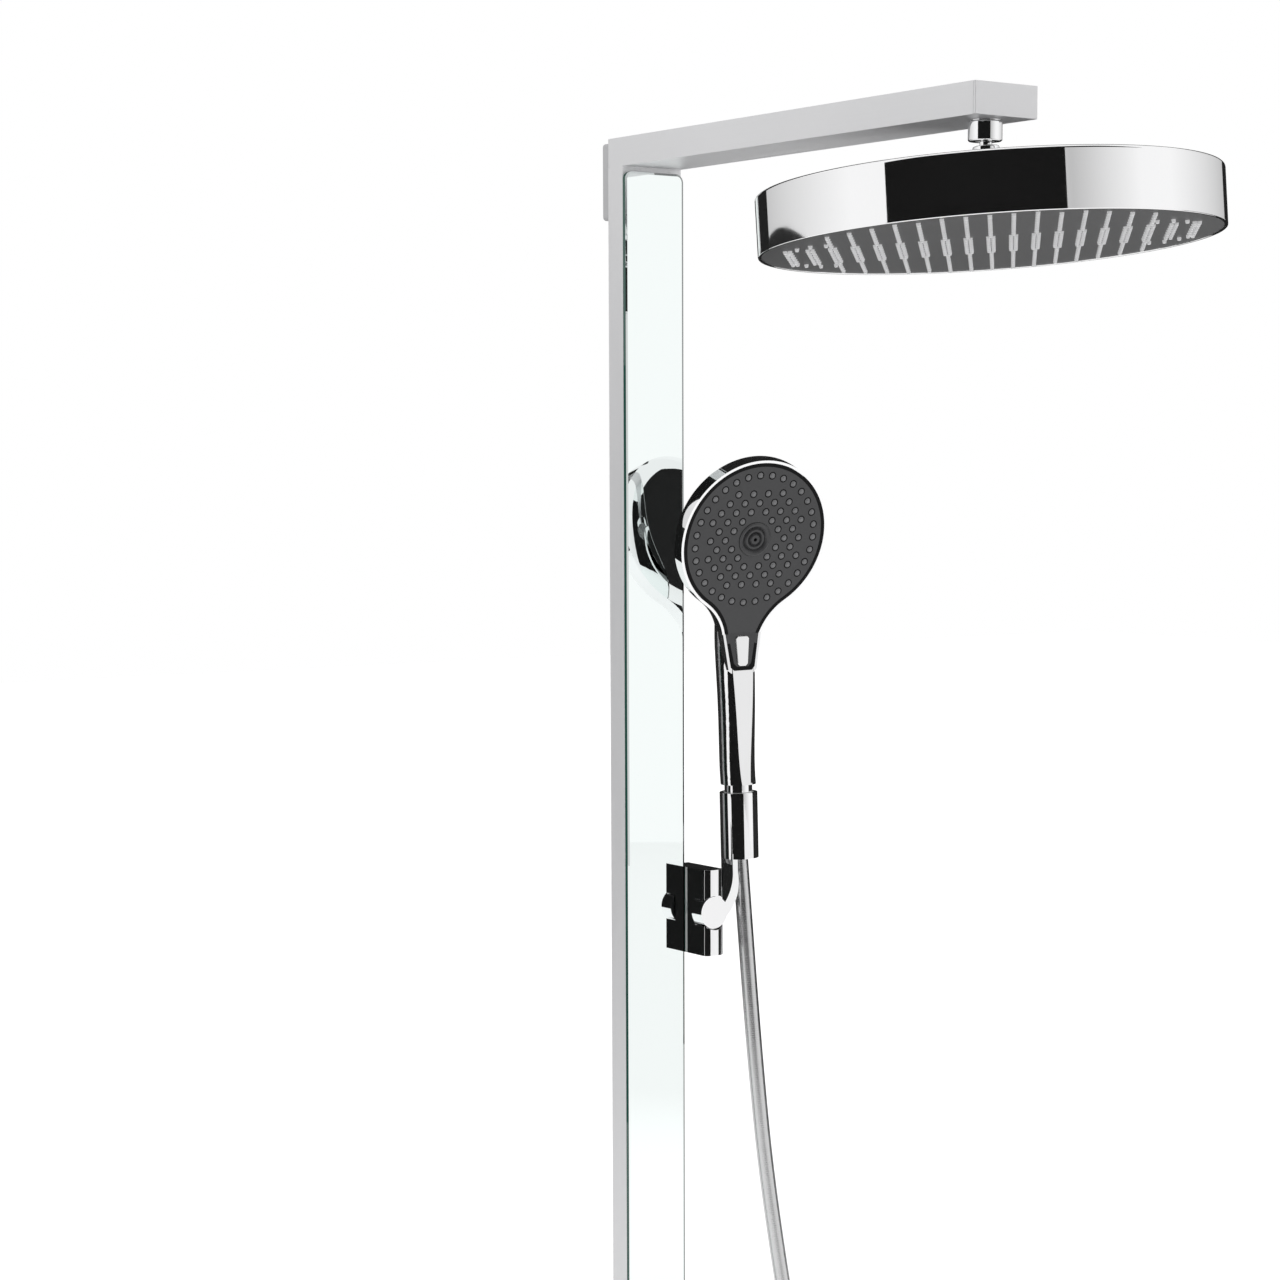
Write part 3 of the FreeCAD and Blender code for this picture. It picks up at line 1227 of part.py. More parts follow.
def mixer_body():
    """Brass body: a bar with the two cartridge bores, inlet bosses, riser seat and outlet boss."""
    body = new_body("mixer_body")
    half = MIXER_HALF
    boss_top = CASING_TOP - S.casing_wall - 0.3
    bar = new_sketch(body, "YZ_Plane", -half)
    circle(bar, MIXER_Y, 0, S.mixer_radius)
    pad(body, bar, 2 * half)
    riser_seat = new_sketch(body, "XY_Plane", -8)
    edge = S.riser_radius + 3
    rectangle(riser_seat, -edge, edge, MIXER_Y, RISER_Y + edge)
    pad(body, riser_seat, boss_top + 8)
    bosses = new_sketch(body, "XZ_Plane", S.union_face)
    for way in (-1, 1):
        circle(bosses, way * S.inlet_spacing / 2, 0, S.union_radius)
    pad(body, bosses, S.mixer_axis - S.union_face)
    outlet = new_sketch(body, "XY_Plane", 0)
    circle(outlet, -S.outlet_offset, MIXER_Y, S.outlet_radius + 4)
    pad(body, outlet, boss_top, Reversed=True)
    for way in (-1, 1):
        end = new_sketch(body, "YZ_Plane", way * half)
        circle(end, MIXER_Y, 0, S.cartridge_radius + S.cartridge_clearance)
        pocket(body, end, S.cartridge_length, Reversed=way < 0)
    inner = new_sketch(body, "YZ_Plane", -half + S.cartridge_length)
    circle(inner, MIXER_Y, 0, S.union_bore)
    pocket(body, inner, 2 * (half - S.cartridge_length), Reversed=True)
    inlets = new_sketch(body, "XZ_Plane", S.union_face)
    for way in (-1, 1):
        circle(inlets, way * S.inlet_spacing / 2, 0, S.union_bore)
    pocket(body, inlets, S.mixer_axis - S.union_face, Reversed=True)
    seat = new_sketch(body, "XY_Plane", CASING_TOP - S.pipe_socket)
    circle(seat, 0, RISER_Y, S.riser_radius + S.pipe_clearance)
    pocket(body, seat, S.pipe_socket, Reversed=True)
    rise = new_sketch(body, "XY_Plane", CASING_TOP)
    circle(rise, 0, RISER_Y, S.riser_radius - S.riser_wall)
    pocket(body, rise, CASING_TOP + 5.5)
    cross = new_sketch(body, "XZ_Plane", -RISER_Y)
    circle(cross, 0, 0, 4)
    pocket(body, cross, S.mixer_axis + RISER_Y, Reversed=True)
    drop = new_sketch(body, "XY_Plane", -boss_top)
    circle(drop, -S.outlet_offset, MIXER_Y, S.outlet_radius + S.pipe_clearance)
    pocket(body, drop, S.outlet_socket, Reversed=True)
    down = new_sketch(body, "XY_Plane", 0)
    circle(down, -S.outlet_offset, MIXER_Y, S.hose_bore)
    pocket(body, down, boss_top)


def inlet_pieces():
    """The two unions in the wall with their seals, nuts, filters and check valves."""
    half = S.inlet_spacing / 2
    seal = 1.5
    face = S.union_face
    loose = 0.1
    for label, outer, inner, start, end in (
        ("wall_unions", S.union_radius, S.union_bore, -S.union_reach, face - seal),
        ("inlet_seals", S.union_radius - 0.3, S.union_bore + 0.2, face - seal, face),
        ("inlet_filters", S.union_bore - loose, S.union_bore - 3, face - 5, face - 2.5),
        ("check_valves", S.union_bore - loose, S.union_bore - 3.5, face + 0.5, face + 5.5),
    ):
        body = new_body(label)
        sketch = new_sketch(body, "XZ_Plane", start)
        for way in (-1, 1):
            circle(sketch, way * half, 0, outer)
            circle(sketch, way * half, 0, inner)
        pad(body, sketch, end - start)
        if label == "wall_unions":
            collar = new_sketch(body, "XZ_Plane")
            for way in (-1, 1):
                circle(collar, way * half, 0, S.union_collar)
                circle(collar, way * half, 0, S.union_bore)
            pad(body, collar, S.union_collar_length)
    nuts = new_body("union_nuts")
    sketch = new_sketch(nuts, "XZ_Plane", face + seal - S.nut_length)
    for way in (-1, 1):
        middle = way * half
        corners = []
        for k in range(6):
            corners.append((middle + S.nut_radius * cosine(60 * k), S.nut_radius * sine(60 * k)))
        outline(sketch, corners)
        circle(sketch, middle, 0, S.union_radius + S.thread_clearance)
    pad(nuts, sketch, S.nut_length)


def mixer_controls():
    """Cartridges, spindles, knobs and the stop buttons in the knobs."""
    half = MIXER_HALF
    near = S.casing_width / 2 + S.knob_gap
    far = near + S.knob_length
    radius, wall, bevel = S.knob_radius, S.knob_wall, S.knob_bevel
    boss = S.spindle_radius + 4
    boss_near = near + 2
    spindle_end = near + S.spindle_length
    spindle_near = half - S.cartridge_length / 2
    bore = S.spindle_radius + S.pin_clearance
    stop_x = near + 13
    for way, name in ((1, "temperature"), (-1, "flow")):
        cartridge = new_body(name + "_cartridge")
        sketch = new_sketch(cartridge, "YZ_Plane", way * (half - S.cartridge_length))
        circle(sketch, MIXER_Y, 0, S.cartridge_radius)
        pad(cartridge, sketch, S.cartridge_length, Reversed=way < 0)
        hole = new_sketch(cartridge, "YZ_Plane", way * half)
        circle(hole, MIXER_Y, 0, bore)
        pocket(cartridge, hole, S.cartridge_length / 2, Reversed=way < 0)
        spindle = new_body(name + "_spindle")
        sketch = new_sketch(spindle, "YZ_Plane", way * (spindle_near + 0.3))
        circle(sketch, MIXER_Y, 0, S.spindle_radius)
        pad(spindle, sketch, spindle_end - spindle_near - 0.6, Reversed=way < 0)
        knob = new_body(name + "_knob")
        sketch = new_sketch(knob, "XZ_Plane")
        outline(sketch, [(way * x, z) for x, z in (
            (far, 0), (far, radius - bevel), (far - bevel, radius), (near, radius),
            (near, radius - wall), (far - wall, radius - wall), (far - wall, boss),
            (boss_near, boss), (boss_near, bore), (spindle_end, bore), (spindle_end, 0),
        )])
        turned(knob, "Revolution", sketch, "H_Axis")
        hole = new_sketch(knob, "XZ_Plane", boss + 2)
        circle(hole, way * stop_x, 0, S.stop_radius + S.button_clearance)
        pocket(knob, hole, radius, Reversed=True)
        placed(knob, step(0, MIXER_Y, 0))
        stop = new_body(name + "_stop")
        sketch = new_sketch(stop, "XZ_Plane", radius + S.stop_proud - S.stop_length)
        circle(sketch, way * stop_x, 0, S.stop_radius)
        pad(stop, sketch, S.stop_length)
        flange = new_sketch(stop, "XZ_Plane", radius - wall - 2.6)
        circle(flange, way * stop_x, 0, S.stop_radius + 1.2)
        pad(stop, flange, 1.2)
        placed(stop, step(0, MIXER_Y, 0))


def hose_outlet():
    """Threaded outlet under the casing and the hose's nut on it."""
    low = -CASING_TOP - S.outlet_length
    top = -CASING_TOP + S.casing_wall + 0.3 + S.outlet_socket - 0.3
    bore = S.hose_bore
    flange = S.outlet_radius + 4
    thread = S.outlet_radius + S.thread_clearance
    revolved("hose_outlet", [
        (bore, low), (S.outlet_radius, low), (S.outlet_radius, -CASING_TOP - 2.4),
        (flange, -CASING_TOP - 2.4), (flange, -CASING_TOP), (S.outlet_radius, -CASING_TOP),
        (S.outlet_radius, top), (bore, top),
    ], step(-S.outlet_offset, MIXER_Y, 0))
    nut_top = -CASING_TOP - 3
    nut_low = nut_top - S.hose_nut_length
    side = S.hose_nut_radius
    socket = S.hose_radius + S.hose_play
    revolved("hose_nut", [
        (socket, nut_low), (side - 2.4, nut_low), (side, nut_low + 8), (side, nut_top - 0.6),
        (side - 0.6, nut_top), (thread, nut_top), (thread, low - 0.3), (bore, low - 0.3),
        (bore, nut_low + S.hose_socket), (socket, nut_low + S.hose_socket),
    ], step(-S.outlet_offset, MIXER_Y, 0))


def build_mixer():
    mixer_casing()
    mixer_body()
    inlet_pieces()
    mixer_controls()
    hose_outlet()


# ---------------------------------------------------------------- hose

# Corners of the hose's way from its nut to the hand shower, in the object's frame and in
# thousandths of the slider's level.
HOSE_CORNERS = (
    (-92, -86, -369), (-87, -89, -612), (14, -138, -724), (156, -207, -724), (256, -256, -612),
    (261, -258, -244), (237, -210, 64), (196, -160, 456), (176, -143, 716),
)
HOSE_BEND = 0.45


def route(points):
    """Straight runs joined by tangent arcs through the corners; also gives the radii."""
    edges = []
    radii = []
    start = points[0]
    for before, corner, after in zip(points, points[1:], points[2:]):
        come = (corner - before).normalize()
        leave = (after - corner).normalize()
        half = come.getAngle(leave) / 2
        reach = HOSE_BEND * min((corner - before).Length, (after - corner).Length)
        radius = reach / math.tan(half)
        enter, quit_at = corner - come * reach, corner + leave * reach
        inward = (leave - come).normalize()
        middle = corner + inward * (radius / math.cos(half) - radius)
        edges.append(Part.LineSegment(start, enter).toShape())
        edges.append(Part.Arc(enter, middle, quit_at).toShape())
        radii.append(radius)
        start = quit_at
    edges.append(Part.LineSegment(start, points[-1]).toShape())
    return Part.Wire(edges), radii


def hose_run(label, points):
    """A hose along its route, checked by its volume."""
    wire, radii = route(points)
    heading = (points[1] - points[0]).normalize()
    solids = []
    for radius in (S.hose_radius.value, S.hose_bore.value):
        ring = Part.Wire([Part.Circle(points[0], heading, radius).toShape()])
        solids.append(wire.makePipeShell([ring], True, False))
    shape = solids[0].cut(solids[1])
    section = math.pi * (S.hose_radius.value ** 2 - S.hose_bore.value ** 2)
    if abs(shape.Volume / (section * wire.Length) - 1) > 0.01:
        raise RuntimeError(label + ": the volume does not fit its length")
    made = DOC.addObject("Part::Feature", label)
    made.Label = label
    made.Shape = shape
    PARTS.append(made)
    print(label, "length", round(wire.Length, 1), "radii", [round(r) for r in radii])


def build_hose():
    inside = S.hose_socket - S.hose_play
    start = -CASING_TOP - 3 - S.hose_nut_length + inside
    first = FreeCAD.Vector(-S.outlet_offset.value, MIXER_Y.value, start.value)
    cone = [part for part in PARTS if part.Label == "hose_cone_nut"][0]
    last = cone.Placement.multVec(
        FreeCAD.Vector(0, 0, (inside - S.neck_height - S.sleeve_height).value))
    unit = S.slider_level.value / 1000
    corners = [FreeCAD.Vector(*corner) * unit for corner in HOSE_CORNERS]
    upper = last - corners[-1]
    split = corners[-1] + upper * ((S.hose_split.value - corners[-1].z) / upper.z)
    hose_run("hose_lower", [first] + corners + [split])
    hose_run("hose_upper", [split, last])


# ---------------------------------------------------------------- write out

def write_parts():
    DOC.recompute()
    failed = []
    for thing in DOC.Objects:
        if "Invalid" in thing.State or "Error" in thing.State:
            failed.append(thing.Label)
    for part in PARTS:
        if part.Shape.isNull() or not part.Shape.isValid():
            failed.append(part.Label)
    if failed:
        raise RuntimeError("failed: " + ", ".join(failed))
    os.makedirs("parts", exist_ok=True)
    for part in PARTS:
        part.Shape.exportStep("parts/" + part.Label + ".step")


def main():
    build_column()
    build_ball_joint()
    build_overhead()
    build_slider()
    build_holder()
    build_hand_shower()
    build_mixer()
    build_hose()
    write_parts()


main()
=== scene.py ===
import math

import bmesh
import bpy
from bpy.props import FloatProperty, FloatVectorProperty, IntProperty, PointerProperty
from mathutils import Matrix, Vector


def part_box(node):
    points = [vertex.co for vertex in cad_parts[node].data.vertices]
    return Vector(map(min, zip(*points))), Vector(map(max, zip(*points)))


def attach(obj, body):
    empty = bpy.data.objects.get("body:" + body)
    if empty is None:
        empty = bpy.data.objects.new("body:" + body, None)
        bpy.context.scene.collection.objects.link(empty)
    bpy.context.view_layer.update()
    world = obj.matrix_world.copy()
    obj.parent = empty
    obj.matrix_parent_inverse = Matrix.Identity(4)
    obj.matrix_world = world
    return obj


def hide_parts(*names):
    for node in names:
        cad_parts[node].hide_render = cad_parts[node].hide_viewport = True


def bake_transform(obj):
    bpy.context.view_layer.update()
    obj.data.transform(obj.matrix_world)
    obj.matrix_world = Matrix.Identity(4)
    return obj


bl_info = {
    "name": "Shower panel column",
    "version": (1, 0, 0),
    "blender": (4, 5, 0),
    "location": "View3D > Sidebar > Shower column",
    "description": "Finishes, nozzles, hose and studio for a shower panel column",
    "category": "Object",
}

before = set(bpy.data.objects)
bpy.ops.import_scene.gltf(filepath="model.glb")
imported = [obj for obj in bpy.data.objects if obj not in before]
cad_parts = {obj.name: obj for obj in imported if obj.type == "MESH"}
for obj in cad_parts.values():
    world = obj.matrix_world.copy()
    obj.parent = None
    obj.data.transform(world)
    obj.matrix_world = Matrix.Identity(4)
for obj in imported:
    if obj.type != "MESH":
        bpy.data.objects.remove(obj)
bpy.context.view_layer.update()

# ---------------------------------------------------------------- places shared with the solids

# Overhead shower: the middle of its ball, its lean in degrees, its lower rim below the ball, its
# face plate above that rim, and the bearing of its nozzle rows.
BALL = Vector((0, -0.452, 1.098))
HEAD_TILT = -4.36
HEAD_ROLL = -0.91
HEAD_DROP = 0.0815
HEAD_LIP = 0.0008
NOZZLE_TURN = 47.8

# Holder: its pivot on the slider and its lean. The hand shower's foot is placed from the pivot.
PIVOT = Vector((0.0402, -0.066, 0.472))
HOLDER_LEAN = -1.5
HAND_FOOT = Vector((0.0354, 0.009, 0.1085))

# Hand shower: its turn in the sleeve, and the middle and pitch of its face from its foot.
HAND_TURN = -7.8
FACE = Vector((0, -0.038, 0.213))
FACE_PITCH = 17.7


def turn(angle, axis):
    return Matrix.Rotation(math.radians(angle), 4, axis)


HEAD_PLACE = Matrix.Translation(BALL) @ turn(HEAD_TILT, "X") @ turn(HEAD_ROLL, "Y")
HOLDER_PLACE = Matrix.Translation(PIVOT) @ turn(HOLDER_LEAN, "Y")
HAND_PLACE = HOLDER_PLACE @ Matrix.Translation(HAND_FOOT) @ turn(HAND_TURN, "Z")
FACE_PLACE = HAND_PLACE @ Matrix.Translation(FACE) @ turn(FACE_PITCH, "X")

# Corners of the hose's way, from its nut to the hand shower, in metres.
HOSE_LOWER_ROUTE = (
    (-0.042, -0.038, -0.0546), (-0.0434, -0.0406, -0.1742), (-0.0411, -0.042, -0.2889),
    (0.0066, -0.0651, -0.3417), (0.0736, -0.0977, -0.3417), (0.1208, -0.1208, -0.2889),
    (0.1232, -0.1218, -0.1152), (0.1119, -0.0991, 0.0302), (0.0925, -0.0755, 0.2152),
    (0.0831, -0.0675, 0.3379), (0.07868, -0.06223, 0.43),
)
HOSE_UPPER_ROUTE = ((0.07868, -0.06223, 0.43), (0.07432, -0.057, 0.5213))

# Height on the hose's loop that is listed with the lower hose but not used, and how much thinner
# the tube is than the solid hose, so that it stays inside it.
LOOP_TOP = -0.12
HOSE_SLACK = 0.0001
HOSE_RESOLUTION = 24

# Ground edge round the mirror glass and its round top corners, in metres.
GROUND_WIDTH = 0.0018
GROUND_DEPTH = 0.0005
GLASS_CORNER = 0.007
CORNER_STEPS = 8

# Front of the hand shower, in millimetres: its plate's edge is a circle that draws in to the
# handle through two hollow flanks.
PLATE_RADIUS = 67.5
FLANK_RADIUS = 52
FLANK_ANGLE = 33.9
NECK_FOOT = 86
NECK_LEVEL = 131
NECK_FRONT = 12.2
NECK_TIP_HALF = 11.5
NECK_LENGTH = 31
NECK_CUT = 3
FLANK_STEPS = 14
PLATE_STEPS = 96

# Black band over the seam round that plate, painted shadow that stands in for the shade in the
# seam's
# gap, in millimetres: its outer and inner side from the plate's edge, and how far it stands proud
# of the plate and reaches into it.
SEAM_SHADOW_OUTER = 0.05
SEAM_SHADOW_INNER = -2.9
SEAM_SHADOW_PROUD = 0.25
SEAM_SHADOW_SUNK = -0.4

# Rounded edges of the rigid pieces, in metres, and what softened() takes for one point, for one
# flat face, for an edge to round and for a crease to keep, in metres and degrees.
EDGES = {
    "arm_end_cap": 0.0004, "arm_rear_cap": 0.0004, "upper_wall_bracket": 0.0004,
    "lower_wall_bracket": 0.0004, "mixer_casing": 0.0006, "hose_nut": 0.0005,
    "hose_outlet": 0.0005, "union_nuts": 0.0005, "temperature_knob": 0.0008,
    "flow_knob": 0.0008, "temperature_stop": 0.0006, "flow_stop": 0.0006,
    "overhead_housing": 0.0008, "swivel_nut": 0.0004, "ball_cup": 0.0004, "ball_nut": 0.0004,
    "slider_block": 0.0005, "holder_arm": 0.0009, "hand_connector": 0.0003,
    "hose_cone_nut": 0.0003, "select_button": 0.0007,
}
SAME_POINT = 2e-6
FLAT_ANGLE = 0.4
SHARP_ANGLE = 32
CREASE_ANGLE = 40

# Outlines of the nozzles and of the dark discs round the hand shower's nozzles, painted shadow that
# stands in for the shade in the hollows they sit in, from the tip to the face: radius and height in
# metres.
NOZZLE_LINE = ((0.0002, -0.002), (0.0007, -0.0024), (0.0013, -0.0022), (0.0017, 0))
HAND_NOZZLE_LINE = (
    (0.0003, -0.0016), (0.0011, -0.0015), (0.0018, -0.0011), (0.0022, -0.0004), (0.0026, 0.0),
)
SEAT_SHADOW_LINE = ((0.0003, -0.0001), (0.0033, -0.0001), (0.0035, 0.0))
NOZZLE_SIDES = 12
HAND_NOZZLE_SIDES = 14
SEAT_SHADOW_SIDES = 16

# The overhead nozzles: rows on each side of the middle row, steps on each side of a row's middle,
# and in metres the half length with pairs, the field's radius and the bows' middle and half axes.
OVERHEAD_FIELD = {
    "Rows": 9, "Steps": 12, "Pair reach": 0.039, "Field radius": 0.158, "Bow middle": 0.1215,
    "Bow width": 0.028, "Bow height": 0.0615, "Bow start": math.radians(30),
    "Bow step": math.radians(23.3),
}
BOW_NOZZLES = 16

# The hand shower's nozzles: the rows inside the ring, between two radii, and the ring itself.
HAND_FIELD = {
    "Columns": 9, "Even rows": 5, "Odd rows": 6, "Inner radius": 0.0202, "Outer radius": 0.04842,
    "Ring count": 31, "Ring radius": 0.057,
}

# Finishes of the pieces that no setting names.
INNER_PLASTIC = (0.5, 0.51, 0.5)
BRASS = (0.62, 0.47, 0.22)
SPRING_STEEL = (0.5, 0.5, 0.51)
SEAL_RUBBER = (0.03, 0.03, 0.03)
STOP_BUTTON = (0.025, 0.025, 0.028)
# Near-black painted shadow: the shade in the seam's gap round the hand shower's plate and in the
# hollows round its nozzles.
SEAM_SHADOW_BLACK = (0.006, 0.006, 0.0065)

# Grain of the metals as the scale of a noise along x, y and z: low numbers lie along the grain.
UPRIGHT_GRAIN = (700, 700, 8)
LEVEL_GRAIN = (700, 8, 700)
TURNED_GRAIN = (300, 300, 300)
WIRE_GRAIN = (40, 40, 900)

# Roughness of the satin aluminium, the turned brass and the drawn wire.
SATIN = 0.42
TURNED = 0.3
DRAWN = 0.28


# ---------------------------------------------------------------- settings

class StageSettings(bpy.types.PropertyGroup):
    floor_level: FloatProperty(
        name="Floor level", description="Floor under the hose's loop", default=-0.42, unit="LENGTH")
    lens: FloatProperty(name="Lens", description="Camera lens in millimetres", default=81.157)
    key_power: FloatProperty(name="Key light", description="Soft light, in watts", default=20)
    fill_power: FloatProperty(name="Fill light", description="Soft light, in watts", default=8)
    surround: FloatProperty(
        name="Surround", description="Brightness of the room", default=0.84, min=0, max=2)


class ColumnSettings(bpy.types.PropertyGroup):
    aluminium: FloatVectorProperty(
        name="Aluminium", description="Satin anodised profile and arm", subtype="COLOR",
        default=(0.72, 0.72, 0.73))
    bracket: FloatVectorProperty(
        name="Brackets", description="Wall brackets", subtype="COLOR", default=(0.42, 0.42, 0.43))
    glass: FloatVectorProperty(
        name="Mirror", description="Tint of the mirror glass", subtype="COLOR",
        default=(0.90, 0.945, 0.935))
    glass_edge: FloatVectorProperty(
        name="Glass edge", description="Cut edge of the mirror glass", subtype="COLOR",
        default=(0.02, 0.07, 0.055))


class ShowerSettings(bpy.types.PropertyGroup):
    chrome: FloatVectorProperty(
        name="Chrome", description="Bright chrome plating", subtype="COLOR",
        default=(0.90, 0.90, 0.905))
    face: FloatVectorProperty(
        name="Face", description="Face plate of the overhead shower", subtype="COLOR",
        default=(0.056, 0.056, 0.058))
    hand_face: FloatVectorProperty(
        name="Hand face", description="Face plate of the hand shower", subtype="COLOR",
        default=(0.036, 0.036, 0.038))
    nozzle: FloatVectorProperty(
        name="Nozzles", description="Overhead nozzles", subtype="COLOR", default=(0.92, 0.92, 0.93))
    hand_nozzle: FloatVectorProperty(
        name="Hand nozzles", description="Hand shower's nozzles", subtype="COLOR",
        default=(0.16, 0.16, 0.165))
    row_pitch: FloatProperty(
        name="Row pitch", description="Between the overhead nozzle rows", default=0.0162,
        unit="LENGTH")
    row_step: FloatProperty(
        name="Row step", description="Between the nozzles of one row", default=0.0128,
        unit="LENGTH")
    pair_gap: FloatProperty(
        name="Pair gap", description="Between the two nozzles of a pair", default=0.0034,
        unit="LENGTH")
    hand_pitch: FloatProperty(
        name="Hand pitch", description="Between the hand shower's nozzles", default=0.0143,
        unit="LENGTH")
    hand_row: FloatProperty(
        name="Hand row", description="Between the rows of the hand shower's nozzles",
        default=0.0081, unit="LENGTH")


class HoseSettings(bpy.types.PropertyGroup):
    radius: FloatProperty(name="Radius", description="Hose", default=0.007, unit="LENGTH")
    colour: FloatVectorProperty(
        name="Hose", description="Metal-effect hose", subtype="COLOR", default=(0.62, 0.62, 0.625))
    sides: IntProperty(name="Sides", description="Sides of the hose's section", default=28, min=8)


# ---------------------------------------------------------------- nodes and materials

class Wiring:
    """Adds nodes to a tree and wires them by the names of their sockets."""

    def __init__(self, tree):
        self.tree = tree

    def join(self, value, socket):
        """Links an output to a socket, or sets the socket's own value."""
        if isinstance(value, bpy.types.NodeSocket):
            self.tree.links.new(value, socket)
        else:
            socket.default_value = value

    def add(self, kind, inputs=None, **settings):
        """Adds a node and returns its outputs. A list gives one input several links."""
        node = self.tree.nodes.new(kind)
        for name, value in settings.items():
            setattr(node, name, value)
        for name, value in (inputs or {}).items():
            for one in value if isinstance(value, list) else [value]:
                self.join(one, node.inputs[name])
        return node.outputs

    def math(self, operation, first, second=0.0):
        return self.add("ShaderNodeMath", {0: first, 1: second}, operation=operation)[0]

    def mix(self, factor, first, second):
        """A colour between two, by a factor from 0 to 1."""
        return self.add("ShaderNodeMix", {"Factor": factor, "A": first, "B": second},
                        data_type="RGBA")["Result"]


class Pattern(Wiring):
    """A new material whose nodes read the piece's own coordinates."""

    def __init__(self, name):
        self.material = bpy.data.materials.new(name)
        self.material.use_nodes = True
        super().__init__(self.material.node_tree)
        self.shader = self.tree.nodes["Principled BSDF"].inputs

    @property
    def place(self):
        return self.add("ShaderNodeTexCoord")["Object"]

    def noise(self, vector, scale, detail):
        return self.add("ShaderNodeTexNoise", {
            "Vector": vector, "Scale": scale, "Detail": detail, "Roughness": 0.5})["Fac"]

    def tones(self, factor, colour, low, high):
        """The colour made darker and lighter by a noise."""
        node = self.tree.nodes.new("ShaderNodeValToRGB")
        self.join(factor, node.inputs["Fac"])
        for stop, share in zip(node.color_ramp.elements, (low, high)):
            stop.color = (*shade(colour, share), 1)
        return node.outputs["Color"]

    def between(self, factor, low, high):
        """Spreads a noise, which mostly lies from 0.3 to 0.7, over a range."""
        return self.add("ShaderNodeMapRange", {
            "Value": factor, "From Min": 0.3, "From Max": 0.7, "To Min": low,
            "To Max": high})["Result"]

    def wire(self, values):
        for name, value in values.items():
            self.join(value, self.shader[name])

    def bump(self, height, strength, distance):
        bump = self.add("ShaderNodeBump", {
            "Height": height, "Strength": strength, "Distance": distance})
        self.wire({"Normal": bump["Normal"]})


def shade(colour, factor):
    return tuple(min(1, channel * factor) for channel in colour)


def chrome_finish(name, colour, roughness=0.03):
    """Bright plating with faint water haze."""
    pattern = Pattern(name)
    haze = pattern.noise(pattern.place, scale=42, detail=3)
    pattern.wire({
        "Base Color": pattern.tones(haze, colour, 0.985, 1), "Metallic": 1.0,
        "Roughness": pattern.between(haze, roughness * 0.7, roughness * 1.3)})
    return pattern.material


def satin_metal(name, colour, roughness, grain_scale):
    """Anodised or brushed metal with a grain along one direction."""
    pattern = Pattern(name)
    along = pattern.add("ShaderNodeMapping", {"Vector": pattern.place, "Scale": grain_scale})
    grain = pattern.noise(along[0], scale=1, detail=3)
    cloud = pattern.noise(pattern.place, scale=9, detail=2)
    pattern.wire({
        "Base Color": pattern.tones(cloud, colour, 0.97, 1.03), "Metallic": 0.55,
        "Roughness": pattern.between(grain, roughness - 0.05, roughness + 0.05)})
    pattern.bump(grain, strength=0.06, distance=0.0002)
    return pattern.material


def moulded(name, colour, roughness, gloss=0.5):
    """Moulded plastic or rubber with a fine texture."""
    pattern = Pattern(name)
    fine = pattern.noise(pattern.place, scale=1500, detail=2)
    cloud = pattern.noise(pattern.place, scale=30, detail=3)
    pattern.wire({
        "Base Color": pattern.tones(cloud, colour, 0.93, 1.07), "Specular IOR Level": gloss,
        "Roughness": pattern.between(fine, roughness - 0.06, roughness + 0.06)})
    pattern.bump(fine, strength=0.15, distance=0.0001)
    return pattern.material


def mirror_glass(name, colour, edge):
    """Silvered front, the right half of its ground edge painted darker as painted shade, and the
    green of the cut sides.
    """
    pattern = Pattern(name)
    parts = pattern.add("ShaderNodeSeparateXYZ", {"Vector": pattern.place})
    low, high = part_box("front_glass")

    def beyond(value, limit):
        return pattern.math("GREATER_THAN", value, limit)

    behind = beyond(parts["Y"], low.y + GROUND_DEPTH + 1e-5)
    beside = beyond(pattern.math("ABSOLUTE", parts["X"]), high.x - 1e-4)
    cut = pattern.math("MAXIMUM", behind, beside)
    # Painted shade: only the right half of the ground edge is darkened, to a third of the tint.
    ground = pattern.math("MULTIPLY", beyond(parts["Y"], low.y + 2e-5), beyond(parts["X"], 0))
    silvered_with_shade = pattern.mix(ground, (*colour, 1), (*shade(colour, 0.33), 1))
    haze = pattern.noise(pattern.place, scale=14, detail=2)
    pattern.wire({
        "Base Color": pattern.mix(cut, silvered_with_shade, (*edge, 1)),
        "Metallic": pattern.math("SUBTRACT", 1.0, cut),
        "Roughness": pattern.between(haze, 0.004, 0.012)})
    return pattern.material


def hose_finish(name, colour):
    """Metal-effect hose with a fine winding round it; u runs along it in metres."""
    pattern = Pattern(name)
    along = pattern.add("ShaderNodeUVMap", uv_map="along")["UV"]
    winding = pattern.add("ShaderNodeTexWave", {
        "Vector": along, "Scale": 160.0, "Distortion": 0.0}, wave_type="BANDS",
        bands_direction="X", wave_profile="SIN")
    cloud = pattern.noise(pattern.place, scale=60, detail=2)
    pattern.wire({
        "Base Color": pattern.tones(cloud, colour, 0.96, 1.04), "Metallic": 1.0,
        "Roughness": pattern.between(cloud, 0.2, 0.27)})
    pattern.bump(winding["Fac"], strength=0.03, distance=0.0003)
    return pattern.material


def dress(material, *names):
    """Gives CAD nodes a finish in all their slots."""
    for name in names:
        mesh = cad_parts[name].data
        mesh.materials.clear()
        mesh.materials.append(material)


# ---------------------------------------------------------------- mesh helpers

def add_object(name, data):
    piece = bpy.data.objects.new(name, data)
    bpy.context.scene.collection.objects.link(piece)
    return piece


